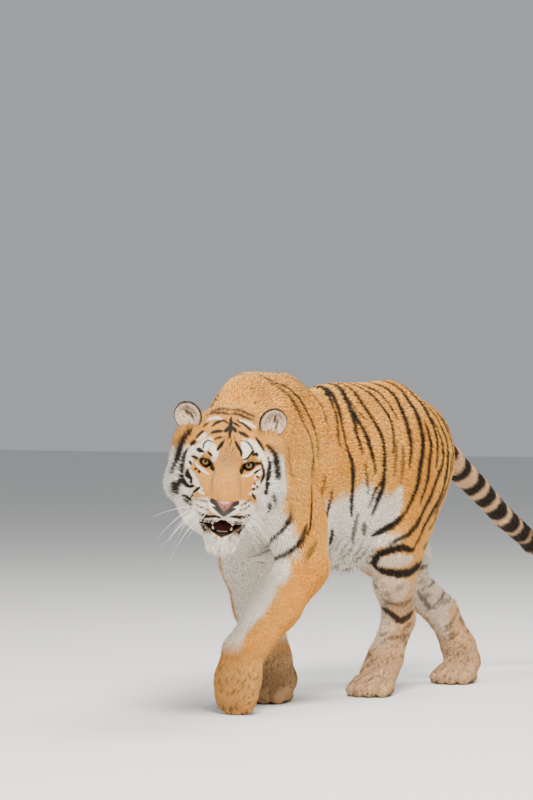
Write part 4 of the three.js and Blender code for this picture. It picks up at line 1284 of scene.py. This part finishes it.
def grown(points, triangles, region_of_point, names, spacing, width, seed, split=None, fixed=None):
    """Tufts over part of the hide: their corners, roots, normals and regions."""
    wanted = np.isin(region_of_point[triangles[:, 0]], [REGIONS.index(n) for n in names])
    if split is not None:
        wanted &= split(points[triangles].mean(1))
    chosen = triangles[wanted]
    centre = points[chosen].mean(1)
    gap = spacing(centre) if callable(spacing) else np.full(len(centre), float(spacing))
    at, which, u, v = roots(points, chosen, 1 / gap ** 2, seed)
    a, b, c = vertex_normals(points, triangles)[chosen[which]].transpose(1, 0, 2)
    n = unit(a * (1 - u - v)[:, None] + b * u[:, None] + c * v[:, None])
    lie, hair, depth, region = fixed(at, n) if fixed else lay(at, HAIRY)
    keep = ~bare_of_tufts(at, n)
    at, n, lie, hair, depth, region, gap = (v[keep] for v in (at, n, lie, hair, depth, region, gap[which]))
    wide = width * gap if callable(spacing) else np.full(len(at), float(width))
    return tuft_corners(at, n, lie, hair, depth, wide, seed + 1), at, n, region


THINNING = 1
BODY_GAP, FOOT_GAP, FACE_GAP = 3.85, 3.3, 1.75
TUFT_WIDTH = 0.85        # as a share of the gap between tufts
FLOOR_CLEAR = 0.4


def spacing_at(c):
    """How far apart tufts stand: closest on the face and crown."""
    left, forward, _ = to_head(c).T
    middle = smooth(105, 85, np.abs(left))
    face = smooth(-165, -95, forward) * middle + smooth(-110, -40, forward) * smooth(85, 105, np.abs(left))
    body = np.where(c[:, 2] < 200, FOOT_GAP, BODY_GAP)
    return (body * (1 - face) + FACE_GAP * face) * THINNING


def tuft_marks(corners, at, n, region):
    """What a tuft is coloured at its root, its middle and its tip: that of the place it covers."""
    found = []
    for share in (0.25, 0.6, 1.0):
        spot = at + (corners[:, 4] - at) * share
        marks = np.stack(bare_marks(at, *marks_at(spot, n, region).T), 1)
        marks[:, 2] = np.minimum(marks[:, 2], 1)
        found.append(marks)
    return np.stack(found, 1)


coat_material, _, _ = hair_material("coat_hair", 0.62)


def grow_coat(name, regions, spacing, width, seed, split=None, fixed=None):
    corners, at, n, region = grown(skin_points, skin_triangles, skin_region, regions, spacing, width, seed,
                                   split, fixed)
    marks = tuft_marks(corners, at, n, region)
    corners[:, :, 2] = np.maximum(corners[:, :, 2], FLOOR_CLEAR)
    piece(name, tuft_mesh(name, corners, unwrapped(at, regions[0]), marks), coat_material)


WAIST = -120             # where the chest pieces meet the flank pieces
LEGS = ["foreleg_left", "foreleg_right", "hindleg_left", "hindleg_right"]
PIECES = [
    ("coat_chest_left", "trunk", lambda c: (c[:, 0] >= 0) & (c[:, 1] < WAIST)),
    ("coat_chest_right", "trunk", lambda c: (c[:, 0] < 0) & (c[:, 1] < WAIST)),
    ("coat_flank_left", "trunk", lambda c: (c[:, 0] >= 0) & (c[:, 1] >= WAIST)),
    ("coat_flank_right", "trunk", lambda c: (c[:, 0] < 0) & (c[:, 1] >= WAIST)),
    ("coat_neck", "neck", None),
    ("coat_head_left", "head", lambda c: to_head(c)[:, 0] >= 0),
    ("coat_head_right", "head", lambda c: to_head(c)[:, 0] < 0),
    *((f"coat_{name}", name, None) for name in LEGS + ["tail"]),
]
for seed, (name, region, split) in enumerate(PIECES):
    grow_coat(name, [region], spacing_at, TUFT_WIDTH, 10 * seed, split)

# ---------- the fringes ----------
# Longer, sparser strands over the short coat: the shaggy edge of the belly behind the forelegs, the tuft
# under the chin, the edges of the ruff and the backs of the legs. They are rooted and coloured like the rest.
FRINGE_WIDTH = 2.0


def under_belly(c):
    return (c[:, 1] > -340) & (c[:, 1] < 150) & (c[:, 2] < 470) & (np.abs(c[:, 0]) < 95)


def under_chin(c):
    return (to_head(c)[:, 2] < -186) & (to_head(c)[:, 1] > 40)


def edge_of_ruff(c):
    left, _, up = to_head(c).T
    return (np.abs(left) > 100) & (up < 10) & (up > -170)


def above_wrist(c):
    return (c[:, 2] > 170) & (c[:, 2] < 470)


# name, regions, where, gap, length of hair, how far it stands, which way it lies
FRINGES = [
    ("fringe_belly", ["trunk"], under_belly, 9, 38, 15, (0, 0.5, -0.87)),
    ("fringe_chin", ["head"], under_chin, 5, 26, 13, -HEAD[2] + 0.2 * HEAD[1]),
    ("fringe_ruff", ["head"], edge_of_ruff, 7, 34, 11, None),
    ("fringe_legs", LEGS, above_wrist, 13, 26, 9, None),
]
for seed, (name, regions, where, gap, hair, stand, lie) in enumerate(FRINGES):
    def longer(at, n, hair=hair, stand=stand, lie=lie):
        way, _, _, region = lay(at, HAIRY)
        if lie is not None:
            way = np.tile(unit(np.array(lie)), (len(at), 1))
        return way, np.full(len(at), hair), np.full(len(at), stand), region

    grow_coat(name, regions, gap * THINNING, FRINGE_WIDTH, 500 + 10 * seed, where, longer)

# ---------- the ears' hair ----------
# Short hair on the backs and rims of the ears and longer, thinner hair inside them. The first two
# shells of the hide are the ears, left and right.
EAR_GAP, EAR_TUFT_WIDTH = 2.2, 1.4
for side, (points, triangles, _, _) in zip(SIDES, shells):
    rows, name = ear_rows(side), ear_name(side)
    number = REGIONS.index(name)

    def ear_lay(at, n, rows=rows, side=side, number=number):
        q = (at - ear_centre(side)) @ rows.T
        inside = (n @ rows[1] > 0.15).astype(float)
        r = np.hypot(q[:, 0] / EAR_RADII[0], q[:, 2] / EAR_RADII[2])
        outward = unit(rows[0] * q[:, [0]] + rows[2] * q[:, [2]])
        near_rim = (2.2 * inside * smooth(0.3, 0.8, r))[:, None]
        lie = unit(rows[2] + rows[0] * (side * 0.4 * inside)[:, None] - outward * near_rim)
        deep = inside * smooth(0.95, 0.7, r)
        return lie, 4 + 9 * deep, 0.9 + 1.3 * deep, np.full(len(at), number)

    corners, at, n, region = grown(points, triangles, np.full(len(points), number), [name], EAR_GAP,
                                   EAR_TUFT_WIDTH, 300 + side, None, ear_lay)
    marks = np.repeat(marks_at(at, n, region)[:, None], 3, axis=1)
    piece(name + "_hair", tuft_mesh(name + "_hair", corners, unwrapped(at, name), marks), coat_material)


# ---------- the eyes ----------
# Glassy eyeballs in the sockets, with a slight bulge of cornea over a golden-brown iris and a round pupil.
# Each is one smooth ball drawn in rings about the way it looks.
IRIS = 10.4              # radii
PUPIL = 3.0
CORNEA = 1.6             # how far it bulges
VIEW_TURN = 35           # the viewer's place, in degrees round to the animal's left, and up
VIEW_RISE = 2.5
turn, rise = math.radians(VIEW_TURN), math.radians(VIEW_RISE)
TOWARDS_VIEWER = np.array([math.sin(turn) * math.cos(rise), -math.cos(turn) * math.cos(rise), math.sin(rise)])


def eyeball(side):
    look = unit(TOWARDS_VIEWER)
    across = unit(np.cross(BODY[2], look))
    up = np.cross(look, across)
    bends = np.radians(np.concatenate([np.linspace(0, 60, 31)[1:], np.linspace(60, 180, 13)[1:-1]]))
    round_ = np.linspace(0, 2 * np.pi, 48, endpoint=False)
    points, iris = [look * (EYEBALL + 1.5)], [(0, 0, 0)]
    for bend in bends:
        radius = EYEBALL - 0.15 + CORNEA * max(0.0, math.cos(min(bend * 2.1, math.pi / 2))) ** 1.2
        out = EYEBALL * math.sin(min(bend, math.pi / 2)) + max(0, bend - math.pi / 2) * 18
        for angle in round_:
            way = look * math.cos(bend) + (across * math.cos(angle) + up * math.sin(angle)) * math.sin(bend)
            points.append(way * radius)
            iris.append((out, math.cos(angle), math.sin(angle)))
    points.append(-look * EYEBALL)
    iris.append((40, 0, 0))
    n, rings = len(round_), len(bends)
    faces = [(0, 1 + i, 1 + (i + 1) % n) for i in range(n)]
    for k in range(rings - 1):
        a, b = 1 + k * n, 1 + (k + 1) * n
        for i in range(n):
            j = (i + 1) % n
            faces += [(a + i, b + i, b + j), (a + i, b + j, a + j)]
    last = 1 + (rings - 1) * n
    faces += [(last + i, len(points) - 1, last + (i + 1) % n) for i in range(n)]
    return np.array(points) + eye_centre(side), np.array(faces), np.array(iris)


RAMP_END = 20            # how far out from the middle of the pupil the colours run
eye_material, tree, shader = new_material("eye", Roughness=0.10, Specular_IOR_Level=0.12, Coat_Weight=0.22,
                                          Coat_Roughness=0.03)
iris = node(tree, "ShaderNodeAttribute", (-900, 0), attribute_name="iris")
parts = node(tree, "ShaderNodeSeparateXYZ", (-700, 0))
scale = node(tree, "ShaderNodeMath", (-500, 100), {1: RAMP_END}, operation="DIVIDE")
rings = node(tree, "ShaderNodeValToRGB", (-300, 100))
fibres = node(tree, "ShaderNodeTexNoise", (-500, -250), {"Scale": 9, "Detail": 3})
wire(tree, (iris.outputs["Vector"], parts.inputs[0]), (parts.outputs[0], scale.inputs[0]),
     (scale.outputs[0], rings.inputs[0]), (iris.outputs["Vector"], fibres.inputs["Vector"]))
ramp = rings.color_ramp
ramp.elements[0].position, ramp.elements[0].color = 0, (0.004, 0.003, 0.002, 1)
ramp.elements[1].position, ramp.elements[1].color = 1, (0.03, 0.02, 0.015, 1)
for spot, colour in (
        (PUPIL / RAMP_END - 0.01, (0.002, 0.002, 0.002)), (PUPIL / RAMP_END + 0.02, (0.11, 0.08, 0.03)),
        (0.26, (0.24, 0.18, 0.07)), (0.35, (0.17, 0.12, 0.045)),
        (IRIS / RAMP_END - 0.09, (0.05, 0.03, 0.012)), (IRIS / RAMP_END - 0.01, (0.006, 0.004, 0.003))):
    element = ramp.elements.new(spot)
    element.color = (*colour, 1)
streak = ranged(tree, fibres.outputs[0], 0.35, 0.65, 0.65, 1.25)
wire(tree, (scaled(tree, rings.outputs[0], streak), shader.inputs["Base Color"]))
for side, name in ((1, "eye_left"), (-1, "eye_right")):
    points, faces, rings_of = eyeball(side)
    mesh = plain_mesh(name + "_ball", points, faces)
    layer = mesh.attributes.new("iris", "FLOAT_VECTOR", "POINT")
    layer.data.foreach_set("vector", rings_of.astype(np.float32).ravel())
    piece(name + "_ball", mesh, eye_material, [name])

# ---------- the nose ----------
# Bare damp skin, pink brown in the middle with nearly black edges: a broad pad, two winged nostrils
# and the groove that runs down to the lip.
def on_nose(c):
    return in_head(*(np.array(NOSE_PLACE) + c))


def nose_shape():
    def at(c, r, blend, cut=False):
        return egg(on_nose(c), r, blend, HEAD, cut)

    def run(a, ra, b, rb, blend, cut=False):
        return bone(on_nose(a), ra, on_nose(b), rb, blend, HEAD[0], 1, cut)

    found = [at((0, 2, 5), (28, 19, 14), 8), run((0, 6, 0), (20, 15), (0, 8, -17), (8, 9), 8)]
    for s in (-1, 1):
        found.append(run((s * 12, 6, 6), (13, 15), (s * 30, -2, 8), (9, 12), 7))
        found.append(run((s * 25, 3, -1), (8, 11), (s * 9, 9, -14), (6, 9), 6))
    for s in (-1, 1):
        found.append(run((s * 23, 17, 0), (6.0, 4.6), (s * 13, 20, -7), (4.2, 3.4), 3, True))
        found.append(run((s * 23, 17, 0), (4.5, 3.6), (s * 33, 8, 3), (3.0, 2.4), 3, True))
    found.append(run((0, 22, 4), (1.3, 3), (0, 20, -22), (1.6, 4), 2, True))
    return dressed(found, "nose", 0, 1)


nose_points, nose_triangles = shell_shape(nose_shape(), 1.5, 6)
nose_material, tree, shader = new_material("nose_skin", Roughness=0.34)
marks = node(tree, "ShaderNodeAttribute", (-600, 100), attribute_name="marks")
split = node(tree, "ShaderNodeSeparateColor", (-400, 100))
tone = blend(tree, (0.24, 0.082, 0.052), (0.018, 0.010, 0.009), split.outputs[0])
wire(tree, (marks.outputs["Color"], split.inputs[0]), (tone, shader.inputs["Base Color"]))
bumped(tree, shader, on_object(tree, "ShaderNodeTexVoronoi", 520), 0.35, 0.0008)
q = to_head(nose_points) - NOSE_PLACE
from_edge = 13 + 0.85 * (q[:, 2] + 18) - np.abs(q[:, 0])
holes = smooth(4.5, 1.5, nearness(nose_points, [p for p in nose_shape() if p.cut][:4]))
black = np.maximum.reduce([smooth(24, 16, from_edge), holes, smooth(-8, -14, q[:, 2])])
mesh = plain_mesh("nose_pad", nose_points, nose_triangles)
paint(mesh, np.stack([black, 0 * black, 0 * black], 1), 0 * black)
piece("nose_pad", mesh, nose_material, ["nose"])

# ---------- the tongue ----------
# A wet, dark pink tongue lying in the lower jaw, with a shallow furrow down its middle.
def tongue_shape():
    rows = turned(HEAD, 0, 12)
    top = egg(in_head(0, 52, -150), (23, 36, 9), 8, rows)
    furrow = bone(in_head(0, 88, -138), (2, 3), in_head(0, 24, -140), (2, 3), 4, HEAD[0], 1, True)
    return dressed([top, furrow], "tongue", 0, 1)


def two_tone(name, roughness, scale, first, second):
    """A material that wanders between two colours, and the pattern that it wanders by."""
    material, tree, shader = new_material(name, Roughness=roughness)
    grain = on_object(tree, "ShaderNodeTexNoise", scale)
    wire(tree, (blend(tree, first, second, grain), shader.inputs["Base Color"]))
    return material, tree, shader, grain


DARK_RED, PINK = (0.10, 0.022, 0.018), (0.20, 0.055, 0.045)
tongue_material, tree, shader, grain = two_tone("tongue_skin", 0.3, 260, DARK_RED, PINK)
bumped(tree, shader, grain, 1.0, 0.001)
tongue_mesh = plain_mesh("tongue_top", *shell_shape(tongue_shape(), 2.0, 5))
piece("tongue_top", tongue_mesh, tongue_material, ["tongue"])

# ---------- the teeth ----------
# Small ivory cutting teeth between two longer eye teeth in the lower jaw, and the two long eye teeth above.
# Each is a smooth peg rooted in the gum, widest at the neck and bent slightly back.
def peg(base, tip, bend, radius, sides=10, rows=7):
    base, tip, bend = (np.array(v, float) for v in (base, tip, bend))
    points = []
    for k in range(rows):
        t = k / rows
        middle = mixed(base, tip, t) + bend * 4 * t * (1 - t)
        r = radius * (1 + 0.3 * t) * math.sqrt(max(1 - t ** 1.6, 0.0))
        for angle in np.linspace(0, 2 * np.pi, sides, endpoint=False):
            points.append(middle + HEAD[0] * (r * math.cos(angle)) + HEAD[1] * (r * 0.8 * math.sin(angle)))
    points += [tip, base]
    ring = [(k * sides + i, k * sides + (i + 1) % sides, (k + 1) * sides + (i + 1) % sides, (k + 1) * sides + i)
            for k in range(rows - 1) for i in range(sides)]
    faces = [f for a, b, c, d in ring for f in ((a, b, c), (a, c, d))]
    last = (rows - 1) * sides
    faces += [(last + i, last + (i + 1) % sides, rows * sides) for i in range(sides)]
    faces += [((i + 1) % sides, i, rows * sides + 1) for i in range(sides)]
    return np.array(points), np.array(faces)


pegs = []
for x in (-12, -7.4, -2.6, 2.6, 7.4, 12):
    back = 0.018 * x * x
    pegs.append(peg(in_head(x, 92 - back, -166), in_head(x * 1.03, 95 - back, -152.5), -HEAD[1], 1.9))
for s in (-1, 1):
    pegs.append(peg(in_head(s * 21, 82, -168), in_head(s * 25, 86, -143), -HEAD[1] * 1.5, 3.6))
    pegs.append(peg(in_head(s * 27, 88, -112), in_head(s * 26, 84, -142), HEAD[1] * 2, 4.4))
ivory, *_ = two_tone("ivory", 0.3, 90, (0.72, 0.62, 0.42), (0.86, 0.80, 0.66))
piece("teeth", plain_mesh("teeth", *joined(pegs)), ivory)

# ---------- the whiskers ----------
# Stiff pale bristles in rows on the muzzle, each springing out of a dark spot, sweeping out and drooping
# with its own weight; a few more stand over each eye. They are thin tapering rods.
WHISKER_REACH = 0.29     # the farthest a whisker may stand out to either side of the animal, in metres
WHISKER_RADIUS = 0.00062


def whisker_path(root, way, long, droop, steps=9):
    t = np.linspace(0, 1, steps)[:, None]
    down = np.array([0, 0, -1.0])
    line = root - way * 3 + way * (long * t) + (down * droop - HEAD[1] * droop * 0.35) * t ** 2
    if np.abs(to_frame(line)[:, 0]).max() > WHISKER_REACH:
        return whisker_path(root, way, 0.94 * long, 0.94 * droop, steps)
    return line


def whisker_lines():
    rng = np.random.default_rng(77)
    on_pad = to_head(skin_points)
    chart = np.stack([on_pad[:, 0], on_pad[:, 2]], 1)
    chart[on_pad[:, 1] < 40] = 1e6
    paths = []
    for s in (-1, 1):
        for row, height in enumerate((-88, -96, -104, -112)):
            for k in range(4):
                target = (s * (46 + 9 * k + 3 * (row % 2)), height - 1.2 * k + rng.uniform(-1, 1))
                spot = np.argmin(((chart - target) ** 2).sum(1))
                fall = 0.12 + 0.16 * row + rng.uniform(-0.08, 0.08)
                way = unit(skin_normals[spot] * 0.5 + HEAD[0] * s * 0.85 - HEAD[2] * fall
                           + HEAD[1] * rng.uniform(-0.1, 0.25))
                reach = rng.uniform(60, 112) + 5 * k
                paths.append(whisker_path(skin_points[spot], way, reach, rng.uniform(25, 60)))
        for k in range(4):
            spot = np.argmin(((on_pad - (s * (38 + 8 * k), -5, 30)) ** 2).sum(1))
            way = unit(skin_normals[spot] + HEAD[0] * s * 0.3 + HEAD[2] * 0.3)
            paths.append(whisker_path(skin_points[spot], way, rng.uniform(26, 42), 8))
    return paths


def bristle_tree(material):
    """Geometry nodes that turn lines into tapering rods of a given thickness."""
    tree = bpy.data.node_groups.new("bristles", "GeometryNodeTree")
    tree.interface.new_socket("Lines", in_out="INPUT", socket_type="NodeSocketGeometry")
    tree.interface.new_socket("Thickness", in_out="INPUT", socket_type="NodeSocketFloat")
    tree.interface.new_socket("Bristles", in_out="OUTPUT", socket_type="NodeSocketGeometry")
    start, end = node(tree, "NodeGroupInput", (-900, 0)), node(tree, "NodeGroupOutput", (900, 0))
    curves = node(tree, "GeometryNodeMeshToCurve", (-650, 0))
    taper = node(tree, "GeometryNodeInputNamedAttribute", (-650, -250), {"Name": "taper"}, data_type="FLOAT")
    width = node(tree, "ShaderNodeMath", (-450, -250), operation="MULTIPLY")
    ring = node(tree, "GeometryNodeCurvePrimitiveCircle", (-250, -250), {"Resolution": 5, "Radius": 1.0})
    rods = node(tree, "GeometryNodeCurveToMesh", (0, 0), {"Fill Caps": True})
    whole = node(tree, "GeometryNodeRealizeInstances", (250, 0))
    coloured = node(tree, "GeometryNodeSetMaterial", (500, 0), {"Material": material})
    wire(tree, (start.outputs["Lines"], curves.inputs["Mesh"]), (taper.outputs[0], width.inputs[0]),
         (start.outputs["Thickness"], width.inputs[1]), (curves.outputs[0], rods.inputs["Curve"]),
         (width.outputs[0], rods.inputs["Scale"]), (ring.outputs[0], rods.inputs["Profile Curve"]),
         (rods.outputs[0], whole.inputs[0]), (whole.outputs[0], coloured.inputs[0]),
         (coloured.outputs[0], end.inputs[0]))
    return tree


bristle_material, *_ = two_tone("bristle", 0.4, 40, (0.86, 0.82, 0.74), (0.95, 0.93, 0.88))
paths = whisker_lines()
lines_mesh = bpy.data.meshes.new("whisker_lines")
steps = len(paths[0])
edges = [(k * steps + i, k * steps + i + 1) for k in range(len(paths)) for i in range(steps - 1)]
lines_mesh.from_pydata([tuple(v) for v in to_frame(np.concatenate(paths))], edges, [])
taper = np.tile(np.linspace(1, 0.12, steps), len(paths)).astype(np.float32)
lines_mesh.attributes.new("taper", "FLOAT", "POINT").data.foreach_set("value", taper)
lines = placed("whisker_lines", lines_mesh)
growing = lines.modifiers.new("bristles", "NODES")
growing.node_group = bristle_tree(bristle_material)
socket = next(item.identifier for item in growing.node_group.interface.items_tree if item.name == "Thickness")
growing[socket] = WHISKER_RADIUS
bpy.context.view_layer.update()
grown_mesh = bpy.data.meshes.new_from_object(lines.evaluated_get(bpy.context.evaluated_depsgraph_get()))
grown_mesh.name = "whiskers"
bpy.data.objects.remove(lines)
piece("whiskers", grown_mesh)

# ---------- the floor, the light and the camera ----------
# A pale floor under soft studio light, seen from the animal's front left at shoulder height.
floor_mesh = bpy.data.meshes.new("floor")
floor_mesh.from_pydata([(-30, -30, 0), (30, -30, 0), (30, 30, 0), (-30, 30, 0)], [], [(0, 1, 2, 3)])
floor_material, *_ = new_material("pale_floor", Base_Color=(0.72, 0.72, 0.71, 1), Roughness=0.8)
floor_mesh.materials.append(floor_material)
placed("floor", floor_mesh)

world = bpy.data.worlds.new("studio")
bpy.context.scene.world = world
world.use_nodes = True
world.node_tree.nodes["Background"].inputs[0].default_value = (0.93, 0.96, 1.0, 1)
world.node_tree.nodes["Background"].inputs[1].default_value = 0.42


def soft_light(name, place, aim, size, power, colour):
    data = bpy.data.lights.new(name, "AREA")
    data.shape, data.size, data.energy, data.color = "DISK", size, power, colour
    lamp = placed(name, data)
    lamp.location = place
    lamp.rotation_euler = (Vector(aim) - Vector(place)).to_track_quat("-Z", "Y").to_euler()


soft_light("key", (3.4, -4.4, 5.6), (0, -0.2, 0.5), 2.4, 1300, (1.0, 0.93, 0.83))
soft_light("fill", (-4.5, -4.0, 3.0), (0, -0.4, 0.5), 4.0, 110, (0.95, 0.98, 1.0))
soft_light("top", (0.5, 2.0, 6.0), (0, 0.2, 0.5), 4.0, 520, (1, 0.97, 0.93))

DISTANCE = 10000.0       # of the camera from the middle of the body
SENSOR, LENS = 36, 158.625
AIM_ASIDE, AIM_UP = -0.0131911, 0.0401538    # as slopes from the line to the middle of the body
camera_data = bpy.data.cameras.new("view")
camera = placed("view", camera_data)
bpy.context.scene.camera = camera
right = np.array([math.cos(turn), math.sin(turn), 0])
upward = np.cross(TOWARDS_VIEWER, right)
eye_point = np.array([0, -150, 450.0]) + TOWARDS_VIEWER * DISTANCE
aim = -TOWARDS_VIEWER + right * AIM_ASIDE + upward * AIM_UP
camera.location = Vector(to_frame(eye_point))
back = unit(-aim)
side_axis = unit(np.cross(BODY[2], back))
camera.rotation_euler = Matrix((side_axis, np.cross(back, side_axis), back)).transposed().to_euler()
camera_data.sensor_width = SENSOR
camera_data.lens = LENS
camera_data.clip_end = 100
